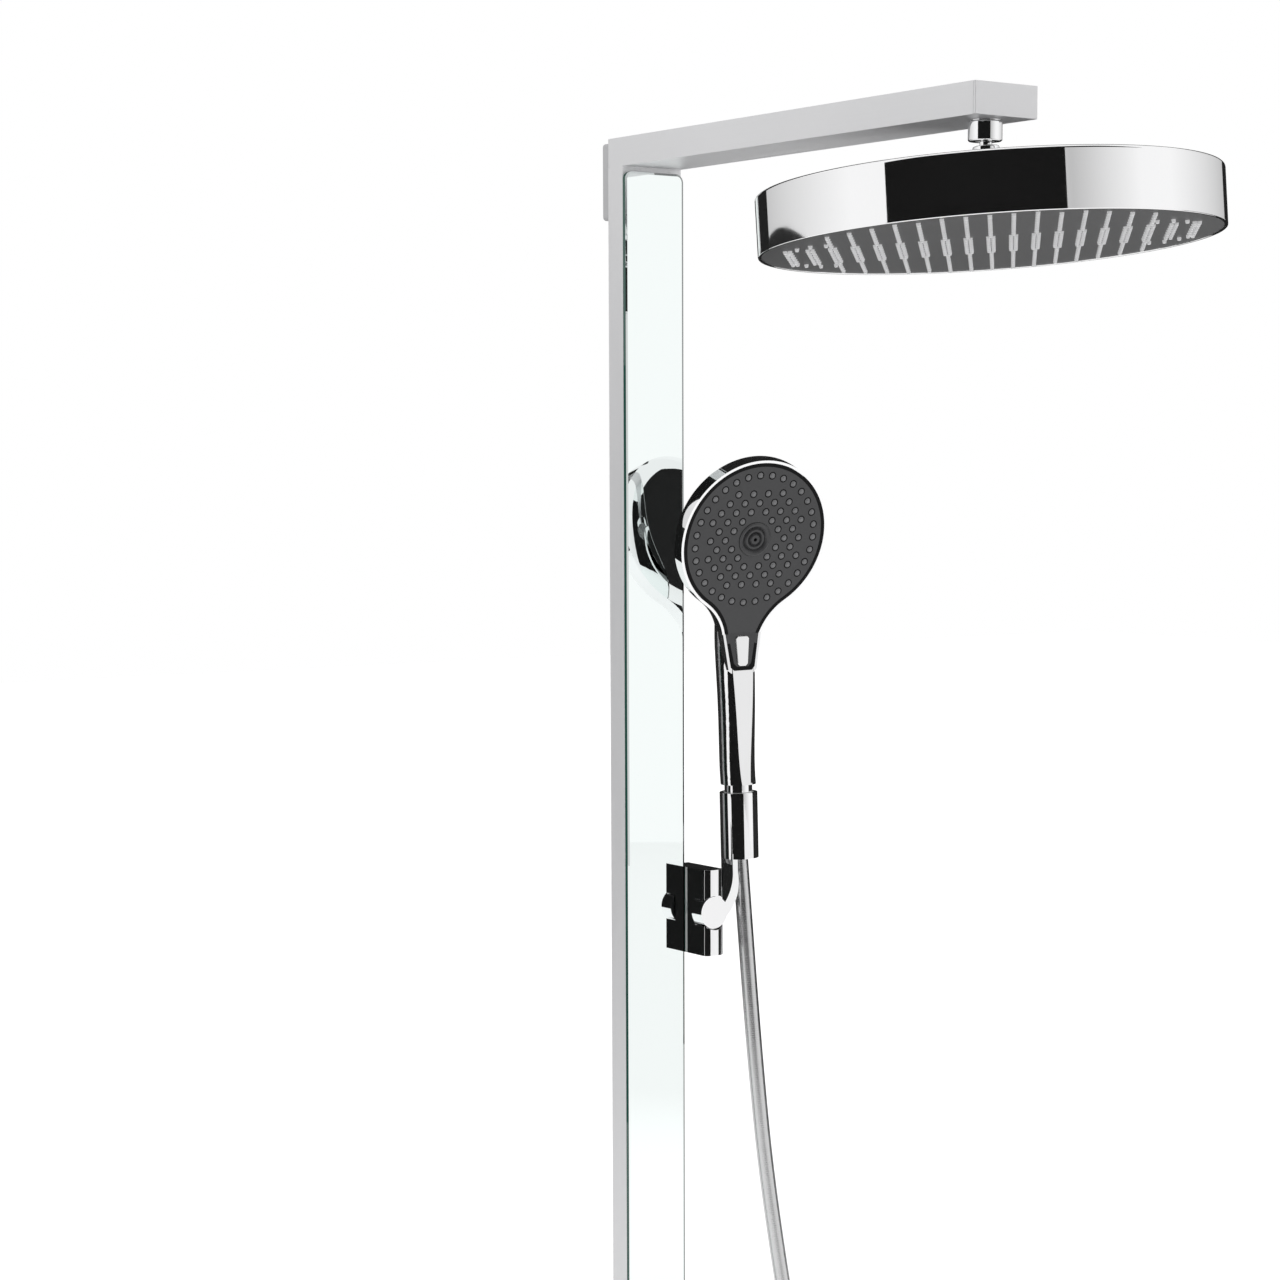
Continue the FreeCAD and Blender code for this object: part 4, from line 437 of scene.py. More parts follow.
def make_piece(name, mesh, body, material=None, node=None):
    """Links a finished mesh, gives it its finish and lets it ride on a body."""
    mesh.name = name
    piece = add_object(name, mesh)
    if material is not None:
        mesh.materials.clear()
        mesh.materials.append(material)
    if node is not None:
        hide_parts(node)
    if body is not None:
        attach(piece, body)
    return piece


def plain_mesh(holder):
    """What an object's modifiers make of its mesh. The object and its own mesh go."""
    source = holder.data
    graph = bpy.context.evaluated_depsgraph_get()
    mesh = bpy.data.meshes.new_from_object(holder.evaluated_get(graph))
    bpy.data.objects.remove(holder)
    bpy.data.meshes.remove(source)
    return mesh


def finished_mesh(form, angle=35):
    """Turns a bmesh into a mesh with outward faces and smooth shading between sharp edges."""
    bmesh.ops.remove_doubles(form, verts=form.verts, dist=1e-7)
    bmesh.ops.recalc_face_normals(form, faces=form.faces)
    return smooth_mesh(form, angle)


def smooth_mesh(form, angle):
    """Turns a bmesh into a mesh that is smooth where its faces meet at less than an angle."""
    mesh = bpy.data.meshes.new("form")
    form.to_mesh(mesh)
    form.free()
    mesh.shade_smooth()
    mesh.set_sharp_from_angle(angle=math.radians(angle))
    return mesh


def softened(node, segments):
    """A merged copy of a CAD node with its sharp edges rounded, flat faces kept flat."""
    form = bmesh.new()
    form.from_mesh(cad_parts[node].data)
    bmesh.ops.remove_doubles(form, verts=form.verts, dist=SAME_POINT)
    bmesh.ops.dissolve_limit(form, angle_limit=math.radians(FLAT_ANGLE), verts=form.verts,
                             edges=form.edges)
    # A mesh made of points and faces alone leaves the node's own normals behind.
    spots = [vertex.co.copy() for vertex in form.verts]
    form.verts.index_update()
    faces = [[vertex.index for vertex in face.verts] for face in form.faces]
    form.free()
    plain = bpy.data.meshes.new("plain")
    plain.from_pydata(spots, [], faces)
    form = bmesh.new()
    form.from_mesh(plain)
    bpy.data.meshes.remove(plain)
    sharp = [edge for edge in form.edges
             if edge.is_manifold and edge.calc_face_angle() > math.radians(SHARP_ANGLE)]
    bmesh.ops.bevel(form, geom=sharp, offset=EDGES[node], offset_type="OFFSET",
                    segments=segments, profile=0.5, affect="EDGES", clamp_overlap=True)
    holder = add_object("holder", smooth_mesh(form, CREASE_ANGLE))
    holder.modifiers.new("even", "WEIGHTED_NORMAL").keep_sharp = True
    return plain_mesh(holder)


def soften(material, slot, body, *nodes, segments=3):
    """Replaces rigid CAD nodes by their softened copies."""
    for node in nodes:
        make_piece(node + "_piece", softened(node, segments), body, material, node)


def circle(sides):
    """Cosine and sine of the steps once round."""
    angles = [2 * math.pi * k / sides for k in range(sides)]
    return [(math.cos(angle), math.sin(angle)) for angle in angles]


def band(form, lower, upper):
    """Joins two closed loops of points by faces, and returns the faces."""
    faces = []
    for k in range(len(lower)):
        after = (k + 1) % len(lower)
        faces.append(form.faces.new((lower[k], lower[after], upper[after], upper[k])))
    return faces


def shell(form, loops):
    """Joins closed loops one after the other and closes both ends; returns the bands' faces."""
    bands = [band(form, lower, upper) for lower, upper in zip(loops, loops[1:])]
    form.faces.new(loops[-1])
    form.faces.new(loops[0][::-1])
    return bands


def points(form, line):
    return [form.verts.new(spot) for spot in line]


def lathe(outline, sides):
    """Spins an open line of (radius, height) points round Z and closes it at both ends."""
    form = bmesh.new()
    shell(form, [points(form, [(radius * x, radius * y, height) for x, y in circle(sides)])
                 for radius, height in outline])
    return finished_mesh(form)


def ring_band(lines):
    """A closed ring through loops of points, the last of them joined to the first."""
    form = bmesh.new()
    loops = [points(form, line) for line in lines]
    for loop, other in zip(loops, loops[1:] + loops[:1]):
        band(form, loop, other)
    return finished_mesh(form)


# ---------------------------------------------------------------- nozzle fields

class Layout(Wiring):
    """Builds a Geometry Nodes tree that spreads one nozzle over a field."""

    def __init__(self, name, sizes):
        super().__init__(bpy.data.node_groups.new(name, "GeometryNodeTree"))
        sockets = self.tree.interface
        sockets.new_socket("Nozzle", in_out="INPUT", socket_type="NodeSocketGeometry")
        for label, value in sizes.items():
            kind = "NodeSocketInt" if isinstance(value, int) else "NodeSocketFloat"
            sockets.new_socket(label, in_out="INPUT", socket_type=kind).default_value = value
        sockets.new_socket("Finish", in_out="INPUT", socket_type="NodeSocketMaterial")
        sockets.new_socket("Field", in_out="OUTPUT", socket_type="NodeSocketGeometry")
        self.given = self.add("NodeGroupInput")

    def grid(self, columns, rows, pitch, row_pitch):
        """Points in columns and rows round the middle, with whole numbers of each."""
        wide = self.math("MULTIPLY", self.math("SUBTRACT", columns, 1), pitch)
        high = self.math("MULTIPLY", self.math("SUBTRACT", rows, 1), row_pitch)
        return self.add("GeometryNodeMeshGrid", {
            "Size X": wide, "Size Y": high, "Vertices X": columns, "Vertices Y": rows})[0]

    def place(self):
        """The across, along and outward distance of a point."""
        spot = self.add("GeometryNodeInputPosition")[0]
        parts = self.add("ShaderNodeSeparateXYZ", {0: spot})
        away = self.add("ShaderNodeVectorMath", {0: spot}, operation="LENGTH")["Value"]
        return self.math("ABSOLUTE", parts["X"]), self.math("ABSOLUTE", parts["Y"]), away

    def without(self, spots, selection):
        return self.add("GeometryNodeDeleteGeometry", {
            "Geometry": spots, "Selection": selection}, domain="POINT")[0]

    def moved(self, spots, across):
        offset = self.add("ShaderNodeCombineXYZ", {"X": across})[0]
        return self.add("GeometryNodeSetPosition", {"Geometry": spots, "Offset": offset})[0]

    def together(self, *parts):
        return self.add("GeometryNodeJoinGeometry", {"Geometry": list(parts)})[0]

    def finish(self, *fields):
        """Puts the nozzle on every point and ends in plain faces with their finish."""
        copies = self.add("GeometryNodeInstanceOnPoints", {
            "Points": self.together(*fields), "Instance": self.given["Nozzle"]})[0]
        faces = self.add("GeometryNodeRealizeInstances", {"Geometry": copies})[0]
        dressed = self.add("GeometryNodeSetMaterial", {
            "Geometry": faces, "Material": self.given["Finish"]})[0]
        self.add("NodeGroupOutput", {"Field": dressed})
        return self.tree


def bow_points(plan, given):
    """Four nozzles in each quarter, on an oval bow beside the short rows."""
    index = plan.add("GeometryNodeInputIndex")[0]
    in_side = plan.math("MODULO", index, 8.0)
    side = plan.math("FLOOR", plan.math("DIVIDE", index, 8.0))
    step = plan.math("FLOOR", plan.math("DIVIDE", in_side, 2.0))
    upper = plan.math("MODULO", in_side, 2.0)
    sign = plan.math("SUBTRACT", plan.math("MULTIPLY", upper, 2.0), 1.0)
    hand = plan.math("SUBTRACT", 1.0, plan.math("MULTIPLY", side, 2.0))
    angle = plan.math("ADD", given["Bow start"], plan.math("MULTIPLY", step, given["Bow step"]))
    out = plan.math("ADD", given["Bow middle"], plan.math(
        "MULTIPLY", given["Bow width"], plan.math("COSINE", angle)))
    up = plan.math("MULTIPLY", given["Bow height"], plan.math("SINE", angle))
    spot = plan.add("ShaderNodeCombineXYZ", {
        "X": plan.math("MULTIPLY", hand, out), "Y": plan.math("MULTIPLY", sign, up)})[0]
    return plan.add("GeometryNodePoints", {"Count": BOW_NOZZLES, "Position": spot})[0]


def overhead_layout(sizes):
    """Rows with pairs near their middle; the outer rows have only pairs, and single nozzles
    stand in bows round them."""
    plan = Layout("overhead_layout", sizes)
    given = plan.given
    rows = given["Rows"]
    columns = plan.math("ADD", plan.math("MULTIPLY", rows, 2), 1)
    steps = plan.math("ADD", plan.math("MULTIPLY", given["Steps"], 2), 1)
    field = plan.grid(columns, steps, given["Row pitch"], given["Row step"])
    across, along, away = plan.place()
    outside = plan.math("GREATER_THAN", away, given["Field radius"])
    single = plan.math("GREATER_THAN", along, given["Pair reach"])
    outer_row = plan.math("MULTIPLY", plan.math("SUBTRACT", rows, 1.5), given["Row pitch"])
    short = plan.math("MULTIPLY", plan.math("GREATER_THAN", across, outer_row), single)
    field = plan.without(field, plan.math("MAXIMUM", outside, short))
    pairs = plan.without(field, single)
    singles = plan.without(field, plan.math("SUBTRACT", 1.0, single))
    half = plan.math("MULTIPLY", given["Pair gap"], 0.5)
    left = plan.moved(pairs, plan.math("MULTIPLY", half, -1.0))
    return plan.finish(singles, left, plan.moved(pairs, half), bow_points(plan, given))


def hand_layout(sizes):
    """A ring of nozzles, and staggered rows inside it that leave room for the middle jet."""
    plan = Layout("hand_layout", sizes)
    given = plan.given
    double = plan.math("MULTIPLY", given["Row pitch"], 2.0)
    even = plan.grid(given["Columns"], given["Even rows"], given["Pitch"], double)
    odd = plan.grid(given["Columns"], given["Odd rows"], given["Pitch"], double)
    odd = plan.moved(odd, plan.math("MULTIPLY", given["Pitch"], 0.5))
    _, _, away = plan.place()
    near = plan.math("LESS_THAN", away, given["Inner radius"])
    far = plan.math("GREATER_THAN", away, given["Outer radius"])
    rows = plan.without(plan.together(even, odd), plan.math("MAXIMUM", near, far))
    ring = plan.add("GeometryNodeMeshCircle", {
        "Vertices": given["Ring count"], "Radius": given["Ring radius"]})[0]
    return plan.finish(rows, ring)


def spread(tree, nozzle, sizes, finish):
    """Lays a nozzle out with a tree and returns the plain mesh."""
    field = add_object("field", nozzle)
    modifier = field.modifiers.new("field", "NODES")
    modifier.node_group = tree
    values = {**sizes, "Finish": finish}
    for socket in tree.interface.items_tree:
        if socket.in_out == "INPUT" and socket.name in values:
            modifier[socket.identifier] = values[socket.name]
    return plain_mesh(field)


# ---------------------------------------------------------------- stage

# The camera in metres and degrees, the level way to it from the object, the photograph's size
# and the point in it that the lens looks straight at, in pixels.
CAMERA_PLACE = Vector((-1.4273, -2.0527, 0.858))
CAMERA_TURN = -35.98
CAMERA_DROP = 6.15
CAMERA_ROLL = -0.09
TO_CAMERA = Vector((-0.587, -0.809, 0))
PICTURE = 1280
PRINCIPAL = (690.7, 774.9)

# The studio stands round this line, between the wall and the overhead shower.
MIDDLE_Y = -0.35

# Soft lamps: place, and width and height, in metres. All aim at the middle of the column.
LAMPS = {
    "key": ((-2.2, -1.2, 2.4), (1.6, 1.6)),
    "fill": ((1.8, -2.4, 1.2), (1.4, 1.8)),
}
LAMP_AIM = Vector((0, -0.3, 0.6))

# Dark studio cards that only bright surfaces show: bearing in degrees to the right of the way to
# the camera, distance, width, lowest and highest edge in metres, and brightness.
CARDS = {
    "dark_card_front": (-12, 3.4, 6.2, -0.4, 7, 0.012),
    "dark_card_high": (46, 3.6, 3.4, 1.95, 7, 0.02),
    "dark_card_behind": (182, 3.2, 4.6, -0.4, 7, 0.02),
    "dark_card_left": (-123, 3.4, 2.4, -0.4, 1.2, 0.03),
    "dark_card_right": (122, 3.6, 3.4, -0.4, 0.75, 0.03),
}

# The studio wall: radius and top in metres, sides, and its shade by bearing. The first two stand
# for the colour ramp's own ends.
WALL_RADIUS = 7
WALL_TOP = 7
WALL_SIDES = 120
WALL_SHADES = (
    (-180, 0.5), (180, 0.5), (-150, 0.55), (-133, 0.66), (-103, 0.83), (-75, 1.0), (10, 1.0),
    (33, 0.55), (52, 0.8), (70, 1.0), (90, 1.0), (116, 0.8), (147, 0.56),
)

# The floor: half its width, its colour, and the glow that the camera and bright surfaces see.
FLOOR_REACH = 14
FLOOR_COLOUR = (0.86, 0.86, 0.86, 1)
FLOOR_GLOW = 0.45
MIRRORED_FLOOR_GLOW = 0.22
WHITE = (1, 1, 1, 1)
BLACK = (0, 0, 0, 1)


def set_camera(lens):
    data = bpy.data.cameras.new("view")
    data.sensor_width = 36
    data.sensor_fit = "HORIZONTAL"
    data.lens = lens
    data.shift_x = (PICTURE / 2 - PRINCIPAL[0]) / PICTURE
    data.shift_y = (PRINCIPAL[1] - PICTURE / 2) / PICTURE
    data.clip_end = 60
    camera = add_object("view", data)
    place = Matrix.Translation(CAMERA_PLACE) @ turn(CAMERA_TURN, "Z")
    camera.matrix_world = place @ turn(90 - CAMERA_DROP, "X") @ turn(CAMERA_ROLL, "Z")
    bpy.context.scene.camera = camera


def area_light(name, power):
    """A soft lamp that neither the camera nor bright surfaces see."""
    place, size = LAMPS[name]
    data = bpy.data.lights.new(name, "AREA")
    data.shape = "RECTANGLE"
    data.size, data.size_y = size
    data.energy = power
    lamp = add_object(name, data)
    lamp.location = place
    lamp.rotation_euler = (LAMP_AIM - Vector(place)).to_track_quat("-Z", "Y").to_euler()
    lamp.visible_camera = False
    lamp.visible_glossy = False


def backdrop(pattern, spots, faces, only_mirrored=True):
    """Adds a piece of the studio with the pattern's name and material."""
    name = pattern.material.name
    mesh = bpy.data.meshes.new(name)
    mesh.from_pydata(spots, [], faces)
    mesh.materials.append(pattern.material)
    piece = add_object(name, mesh)
    if only_mirrored:
        for ray in ("camera", "diffuse", "shadow", "transmission", "volume_scatter"):
            setattr(piece, "visible_" + ray, False)


def standing_card(name, bearing, distance, width, low, high, brightness):
    """A flat card that faces the object from one side."""
    way = Matrix.Rotation(math.radians(bearing), 3, "Z") @ TO_CAMERA
    side = Vector((-way.y, way.x, 0)) * width / 2
    middle = Vector((0, MIDDLE_Y, 0)) + way * distance
    left, right = (middle - side).xy, (middle + side).xy
    pattern = Pattern(name)
    pattern.wire({
        "Base Color": (brightness, brightness, brightness, 1), "Roughness": 1,
        "Specular IOR Level": 0})
    backdrop(pattern, [(*left, low), (*right, low), (*right, high), (*left, high)],
             [(0, 1, 2, 3)])


def soft_wall(floor_level):
    """A curved studio wall that shades softly from side to side in bright surfaces."""
    spots = [(WALL_RADIUS * x, MIDDLE_Y + WALL_RADIUS * y, level)
             for x, y in circle(WALL_SIDES) for level in (floor_level, WALL_TOP)]
    faces = []
    for k in range(0, 2 * WALL_SIDES, 2):
        after = (k + 2) % (2 * WALL_SIDES)
        faces.append((k, k + 1, after + 1, after))
    pattern = Pattern("soft_wall")
    from_camera = math.radians(90 + CAMERA_TURN)
    centred = pattern.add("ShaderNodeMapping", {
        "Vector": pattern.place, "Location": (0, -MIDDLE_Y, 0)})
    turned = pattern.add("ShaderNodeMapping", {
        "Vector": centred[0], "Rotation": (0, 0, math.pi - from_camera)})
    bearing = pattern.add("ShaderNodeTexGradient", {"Vector": turned[0]}, gradient_type="RADIAL")
    ramp = pattern.tree.nodes.new("ShaderNodeValToRGB")
    pattern.join(bearing["Fac"], ramp.inputs["Fac"])
    stops = ramp.color_ramp.elements
    for k, (degrees, brightness) in enumerate(WALL_SHADES):
        stop = stops[k] if k < 2 else stops.new(0.5 + degrees / 360)
        stop.color = (brightness, brightness, brightness, 1)
    height = pattern.add("ShaderNodeSeparateXYZ", {"Vector": pattern.place})
    fade = pattern.add("ShaderNodeMapRange", {
        "Value": height["Z"], "From Min": 0.5 * WALL_TOP, "From Max": 0.95 * WALL_TOP})
    pattern.wire({
        "Base Color": BLACK, "Emission Strength": 1.0,
        "Emission Color": pattern.mix(fade["Result"], ramp.outputs["Color"], WHITE)})
    backdrop(pattern, spots, faces)


def white_floor(level):
    """Pale plain floor that reads white to the camera and in bright surfaces, with a shadow."""
    pattern = Pattern("floor")
    light = pattern.add("ShaderNodeLightPath")
    mirrored = pattern.math("MULTIPLY", light["Is Glossy Ray"], MIRRORED_FLOOR_GLOW)
    seen = pattern.math("MULTIPLY", light["Is Camera Ray"], FLOOR_GLOW)
    pattern.wire({
        "Base Color": FLOOR_COLOUR, "Roughness": 0.9, "Emission Color": WHITE,
        "Emission Strength": pattern.math("ADD", seen, mirrored)})
    reach = FLOOR_REACH
    corners = ((-reach, -reach), (reach, -reach), (reach, reach), (-reach, reach))
    backdrop(pattern, [(*corner, level) for corner in corners], [(0, 1, 2, 3)], False)


def white_room(surround):
    """Even light; the camera, bright metal and glass see plain white."""
    world = bpy.data.worlds.new("room")
    bpy.context.scene.world = world
    world.use_nodes = True
    room = Wiring(world.node_tree)
    light = room.add("ShaderNodeLightPath")
    plain = room.math("MAXIMUM", light["Is Camera Ray"], light["Is Transmission Ray"])
    seen = room.math("MAXIMUM", plain, light["Is Glossy Ray"])
    strength = room.add("ShaderNodeMapRange", {"Value": seen, "To Min": surround, "To Max": 1.0})
    background = room.tree.nodes["Background"].inputs
    room.join(WHITE, background["Color"])
    room.join(strength["Result"], background["Strength"])


class SHOWER_OT_stage(bpy.types.Operator):
    """Sets up the camera, the pale floor, the soft light and the studio cards"""

    bl_idname = "shower.stage"
    bl_label = "Stage"

    def execute(self, context):
        settings = context.scene.shower_stage
        context.scene.view_settings.view_transform = "Standard"
        set_camera(settings.lens)
        white_floor(settings.floor_level)
        white_room(settings.surround)
        area_light("key", settings.key_power)
        area_light("fill", settings.fill_power)
        soft_wall(settings.floor_level)
        for name, sizes in CARDS.items():
            standing_card(name, *sizes)
        return {"FINISHED"}


# ---------------------------------------------------------------- hose

def route_spline(name, route):
    """The hose's line: a smooth spline with the route's corners as its control points."""
    curve = bpy.data.curves.new(name, "CURVE")
    curve.dimensions = "3D"
    curve.resolution_u = HOSE_RESOLUTION
    spline = curve.splines.new("NURBS")
    spline.points.add(len(route) - 1)
    for point, corner in zip(spline.points, route):
        point.co = (*corner, 1)
    spline.order_u = 3
    spline.use_endpoint_u = True
    line = add_object(name, curve)
    bpy.context.view_layer.update()
    mesh = bpy.data.meshes.new_from_object(line)
    path = [vertex.co.copy() for vertex in mesh.vertices]
    bpy.data.objects.remove(line)
    bpy.data.meshes.remove(mesh)
    return path


def tube_along(path, radius, sides):
    """A closed tube along a path, with its length in metres in the map named along."""
    form = bmesh.new()
    layer = form.loops.layers.uv.new("along")
    heading = (path[1] - path[0]).normalized()
    across = heading.orthogonal().normalized()
    rings, lengths = [], []
    travelled = 0
    for k, spot in enumerate(path):
        ahead = path[min(k + 1, len(path) - 1)] - path[max(k - 1, 0)]
        new_heading = ahead.normalized()
        across = heading.rotation_difference(new_heading) @ across
        across = (across - new_heading * across.dot(new_heading)).normalized()
        heading = new_heading
        if k:
            travelled += (spot - path[k - 1]).length
        up = heading.cross(across)
        rings.append(points(form, [spot + (across * x + up * y) * radius
                                   for x, y in circle(sides)]))
        lengths.append(travelled)
    for k, faces in enumerate(shell(form, rings)):
        for s, face in enumerate(faces):
            marks = ((k, s), (k, s + 1), (k + 1, s + 1), (k + 1, s))
            for loop, (ring, mark) in zip(face.loops, marks):
                loop[layer].uv = (lengths[ring], mark / sides)
    bmesh.ops.recalc_face_normals(form, faces=form.faces)
    return smooth_mesh(form, 50)


class SHOWER_OT_hose(bpy.types.Operator):
    """Lays the hose from its nut under the mixer to the hand shower"""

    bl_idname = "shower.hose"
    bl_label = "Hose"

    def execute(self, context):
        settings = context.scene.shower_hose
        finish = hose_finish("hose_finish", settings.colour)
        split = Vector(HOSE_LOWER_ROUTE[-1])
        for node, route, bodies, start, end in (
            ("hose_lower", HOSE_LOWER_ROUTE, ("column", "slider"),
             Vector((split.x, split.y, LOOP_TOP)), split),
            ("hose_upper", HOSE_UPPER_ROUTE, ("slider", "holder"),
             split, Vector(HOSE_UPPER_ROUTE[-1])),
        ):
            name = node + "_tube"
            path = route_spline(name + "_line", route)
            mesh = tube_along(path, settings.radius - HOSE_SLACK, settings.sides)
            piece = make_piece(name, mesh, None, finish, node)
            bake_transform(piece)
        return {"FINISHED"}


# ---------------------------------------------------------------- column and mixer

def glass_plate():
    """The mirror glass with round top corners and a shallow ground edge round its front."""
    low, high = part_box("front_glass")

    def outline(inset, depth):
        line = [(low.x + inset, low.z + inset), (high.x - inset, low.z + inset)]
        radius = GLASS_CORNER - inset
        for middle, start in ((high.x - GLASS_CORNER, 0), (low.x + GLASS_CORNER, 90)):
            for k in range(CORNER_STEPS + 1):
                angle = math.radians(start + 90 * k / CORNER_STEPS)
                line.append((middle + radius * math.cos(angle),
                             high.z - GLASS_CORNER + radius * math.sin(angle)))
        return [Vector((x, depth, z)) for x, z in line]

    form = bmesh.new()
    shell(form, [points(form, line) for line in (
        outline(GROUND_WIDTH, low.y), outline(0, low.y + GROUND_DEPTH), outline(0, high.y))])
    return finished_mesh(form, 10)


class SHOWER_OT_column(bpy.types.Operator):
    """Finishes the profile, the arm, the glass and the brackets"""

    bl_idname = "shower.column"
    bl_label = "Column"

    def execute(self, context):
        settings = context.scene.shower_column
        upright = satin_metal("satin_upright", settings.aluminium, SATIN, UPRIGHT_GRAIN)
        level = satin_metal("satin_level", settings.aluminium, SATIN, LEVEL_GRAIN)
        dress(upright, "column_profile")
        dress(level, "overhead_arm")
        soften(level, "satin_aluminium", "column", "arm_end_cap", "arm_rear_cap")
        bracket = moulded("bracket_grey", settings.bracket, roughness=0.5)
        soften(bracket, "grey_bracket", "column", "upper_wall_bracket", "lower_wall_bracket")
        mirror = mirror_glass("mirror", settings.glass, settings.glass_edge)
        make_piece("mirror_plate", glass_plate(), "column", mirror, "front_glass")
        dress(moulded("inner_plastic", INNER_PLASTIC, roughness=0.5), "ball_seat",
              "overhead_water_chamber", "slider_glide", "sleeve_liner", "hand_spray_former",
              "hand_water_pipe", "arm_outlet_block", "riser_elbow", "temperature_cartridge",
              "flow_cartridge", "inlet_filters", "check_valves")
        dress(satin_metal("machined_brass", BRASS, TURNED, TURNED_GRAIN), "mixer_body",
              "wall_unions", "temperature_spindle", "flow_spindle", "riser_pipe", "arm_pipe")
        dress(satin_metal("spring_steel", SPRING_STEEL, DRAWN, WIRE_GRAIN), "brake_spring",
              "pivot_pin", "button_spring")
        dress(moulded("seal_rubber", SEAL_RUBBER, roughness=0.6), "chamber_seal", "inlet_seals")
        return {"FINISHED"}


class SHOWER_OT_mixer(bpy.types.Operator):
    """Finishes the mixer casing, its knobs and the hose outlet"""

    bl_idname = "shower.mixer"
    bl_label = "Mixer"

    def execute(self, context):
        chrome = chrome_finish("mixer_chrome", context.scene.shower_heads.chrome,
                               roughness=0.04)
        soften(chrome, "chrome_plated_plastic", "column", "mixer_casing")
        soften(chrome, "chrome_metal", "column", "hose_nut", "hose_outlet", "union_nuts")
        dark = moulded("stop_button", STOP_BUTTON, roughness=0.4)
        for knob in ("temperature_knob", "flow_knob"):
            soften(chrome, "chrome_plated_plastic", knob, knob)
        for stop in ("temperature_stop", "flow_stop"):
            soften(dark, "dark_button", stop, stop)
        return {"FINISHED"}


# ---------------------------------------------------------------- showers and holder

class SHOWER_OT_overhead(bpy.types.Operator):
    """Makes the overhead shower with its ball joint and its field of nozzles"""

    bl_idname = "shower.overhead"
    bl_label = "Overhead shower"

    def execute(self, context):
        settings = context.scene.shower_heads
        chrome = chrome_finish("overhead_chrome", settings.chrome)
        soften(chrome, "chrome_plated_plastic", "overhead_shower", "overhead_housing")
        soften(chrome, "chrome_metal", "overhead_shower", "swivel_nut")
        soften(chrome, "chrome_metal", "column", "ball_cup", "ball_nut")
        dress(chrome, "ball_stem")
        face = moulded("overhead_face", settings.face, roughness=0.42)
        dress(face, "overhead_face_plate")
        finish = moulded("overhead_nozzle", settings.nozzle, roughness=0.5)
        sizes = {
            "Row pitch": settings.row_pitch, "Row step": settings.row_step,
            "Pair gap": settings.pair_gap, **OVERHEAD_FIELD,
        }
        nozzle = lathe(NOZZLE_LINE, NOZZLE_SIDES)
        mesh = spread(overhead_layout(sizes), nozzle, sizes, finish)
        to_face = Matrix.Translation((0, 0, HEAD_LIP - HEAD_DROP))
        mesh.transform(HEAD_PLACE @ to_face @ turn(NOZZLE_TURN - 90, "Z"))
        make_piece("overhead_nozzle_field", mesh, "overhead_shower",
                   node="overhead_nozzles")
        return {"FINISHED"}


class SHOWER_OT_holder(bpy.types.Operator):
    """Makes the sliding block and the hooked holder"""

    bl_idname = "shower.holder"
    bl_label = "Slider and holder"

    def execute(self, context):
        chrome = chrome_finish("holder_chrome", context.scene.shower_heads.chrome)
        soften(chrome, "chrome_plated_plastic", "slider", "slider_block")
        soften(chrome, "chrome_metal", "holder", "holder_arm", segments=4)
        return {"FINISHED"}


def arc(radius, start, sweep, steps):
    """Points from an angle round the middle, the end of the sweep left out."""
    angles = [start + sweep * k / steps for k in range(steps)]
    return [radius * Vector((math.cos(angle), math.sin(angle))) for angle in angles]


def front_line(grow, proud):
    """Closed line round the hand shower's front, a distance outside its plate's edge."""
    hollow = FLANK_RADIUS - grow
    away = PLATE_RADIUS + FLANK_RADIUS
    lean = math.radians(FLANK_ANGLE)
    middle = Vector((away * math.sin(lean), -away * math.cos(lean)))
    rise = -NECK_FOOT - middle.y
    foot = math.atan2(rise, -math.sqrt(hollow ** 2 - rise ** 2))
    flank = [middle + spot for spot in arc(hollow, foot, math.pi / 2 + lean - foot, FLANK_STEPS)]
    head = arc(PLATE_RADIUS + grow, lean - math.pi / 2, 2 * math.pi - 2 * lean, PLATE_STEPS)
    end = Vector((-head[0].x, head[0].y))
    other = [Vector((-spot.x, spot.y)) for spot in reversed(flank)]
    tip, low = NECK_TIP_HALF + grow, -NECK_LENGTH - grow
    neck = ((-tip, low + NECK_CUT), (-tip + NECK_CUT, low), (tip - NECK_CUT, low),
            (tip, low + NECK_CUT))
    line = [FACE_PLACE @ (Vector((spot.x, -proud, spot.y)) / 1000)
            for spot in flank + head + [end] + other]
    for across, level in neck:
        line.append(HAND_PLACE @ (
            Vector((across, -NECK_FRONT - proud, NECK_LEVEL + level)) / 1000))
    return line


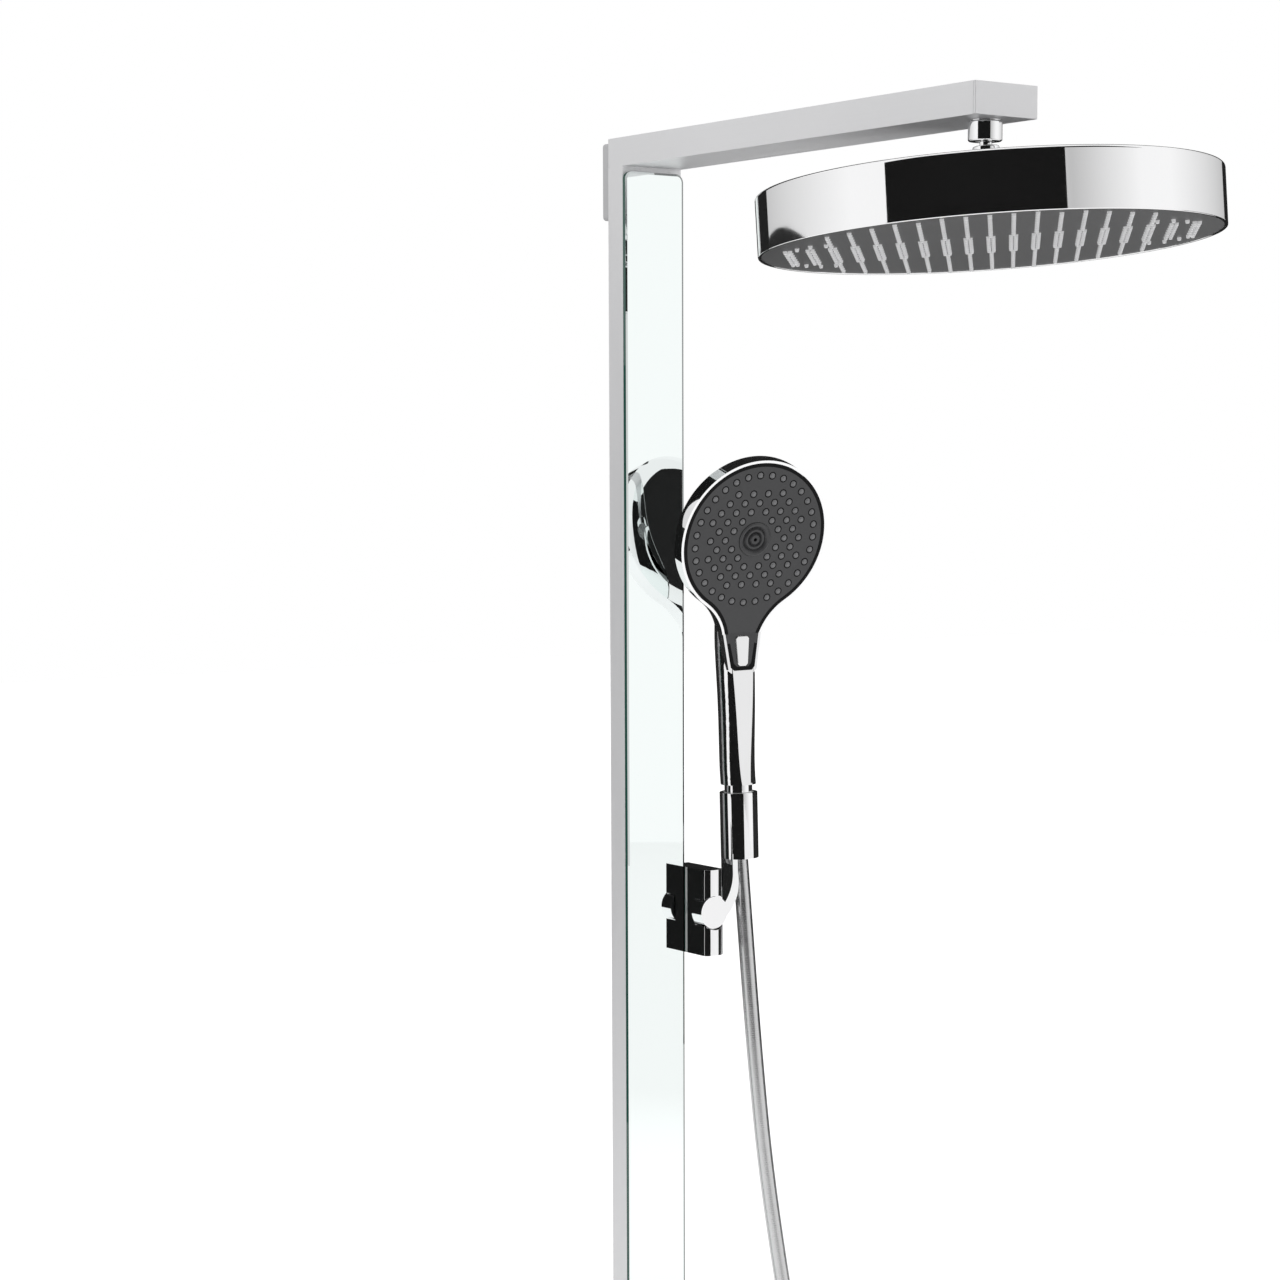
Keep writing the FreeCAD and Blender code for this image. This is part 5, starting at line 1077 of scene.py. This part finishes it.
class SHOWER_OT_hand(bpy.types.Operator):
    """Makes the hand shower with its front, seam, nozzles and button"""

    bl_idname = "shower.hand"
    bl_label = "Hand shower"

    # Makes the hand shower with its front, nozzles and button, and near-black painted shadow along
    # the gap round its plate and round its nozzles
    def execute(self, context):
        settings = context.scene.shower_heads
        chrome = chrome_finish("hand_chrome", settings.chrome)
        dress(chrome, "hand_shell")
        soften(chrome, "chrome_metal", "hand_shower", "hand_connector", "hose_cone_nut")
        soften(chrome, "dark_button", "select_button", "select_button")
        face = moulded("hand_face", settings.hand_face, roughness=0.38)
        dress(face, "hand_face_plate", "hand_jet")
        # Painted shadow: a near-black band over the plate's seam stands in for the shade in its
        # gap.
        painted_shadow_finish = moulded("hand_seam", SEAM_SHADOW_BLACK, roughness=0.6, gloss=0.1)
        lines = [front_line(*side) for side in (
            (SEAM_SHADOW_OUTER, SEAM_SHADOW_SUNK), (SEAM_SHADOW_OUTER, SEAM_SHADOW_PROUD), (SEAM_SHADOW_INNER, SEAM_SHADOW_PROUD),
            (SEAM_SHADOW_INNER, SEAM_SHADOW_SUNK))]
        make_piece("hand_seam", ring_band(lines), "hand_shower", painted_shadow_finish)
        finish = moulded("hand_nozzle", settings.hand_nozzle, roughness=0.35)
        sizes = {"Pitch": settings.hand_pitch, "Row pitch": settings.hand_row, **HAND_FIELD}
        plan = hand_layout(sizes)
        for name, nozzle, material, slot, node in (
            ("hand_nozzle_field", lathe(HAND_NOZZLE_LINE, HAND_NOZZLE_SIDES), finish,
             "grey_nozzle", "hand_nozzles"),
            # Painted shadow: dark discs round the nozzles stand in for the shade in the hollows the
            # nozzles sit in.
            ("hand_nozzle_seat_shadows", lathe(SEAT_SHADOW_LINE, SEAT_SHADOW_SIDES), painted_shadow_finish, "dark_seal", None),
        ):
            mesh = spread(plan, nozzle, sizes, material)
            mesh.transform(FACE_PLACE @ turn(-90, "X"))
            make_piece(name, mesh, "hand_shower", node=node)
        return {"FINISHED"}


# ---------------------------------------------------------------- panel and main

STEPS = (
    ("stage", "shower_stage"),
    ("hose", "shower_hose"),
    ("column", "shower_column"),
    ("mixer", "shower_heads"),
    ("overhead", "shower_heads"),
    ("holder", "shower_heads"),
    ("hand", "shower_heads"),
)


class SHOWER_PT_panel(bpy.types.Panel):
    """Lists the column's pieces and their sizes"""

    bl_idname = "SHOWER_PT_panel"
    bl_label = "Shower column"
    bl_space_type = "VIEW_3D"
    bl_region_type = "UI"
    bl_category = "Shower column"

    def draw(self, context):
        for step, settings in STEPS:
            box = self.layout.box()
            box.operator("shower." + step)
            group = getattr(context.scene, settings)
            for name in group.bl_rna.properties.keys():
                if name not in ("rna_type", "name"):
                    box.prop(group, name)


GROUPS = (
    ("shower_stage", StageSettings),
    ("shower_hose", HoseSettings),
    ("shower_column", ColumnSettings),
    ("shower_heads", ShowerSettings),
)
CLASSES = (SHOWER_OT_stage, SHOWER_OT_hose, SHOWER_OT_column, SHOWER_OT_mixer,
           SHOWER_OT_overhead, SHOWER_OT_holder, SHOWER_OT_hand, SHOWER_PT_panel)


def register():
    for name, group in GROUPS:
        bpy.utils.register_class(group)
        setattr(bpy.types.Scene, name, PointerProperty(type=group))
    for each in CLASSES:
        bpy.utils.register_class(each)


def unregister():
    for each in reversed(CLASSES):
        bpy.utils.unregister_class(each)
    for name, group in reversed(GROUPS):
        delattr(bpy.types.Scene, name)
        bpy.utils.unregister_class(group)


def main():
    register()
    for step, _ in STEPS:
        getattr(bpy.ops.shower, step)()


if __name__ == "__main__":
    main()
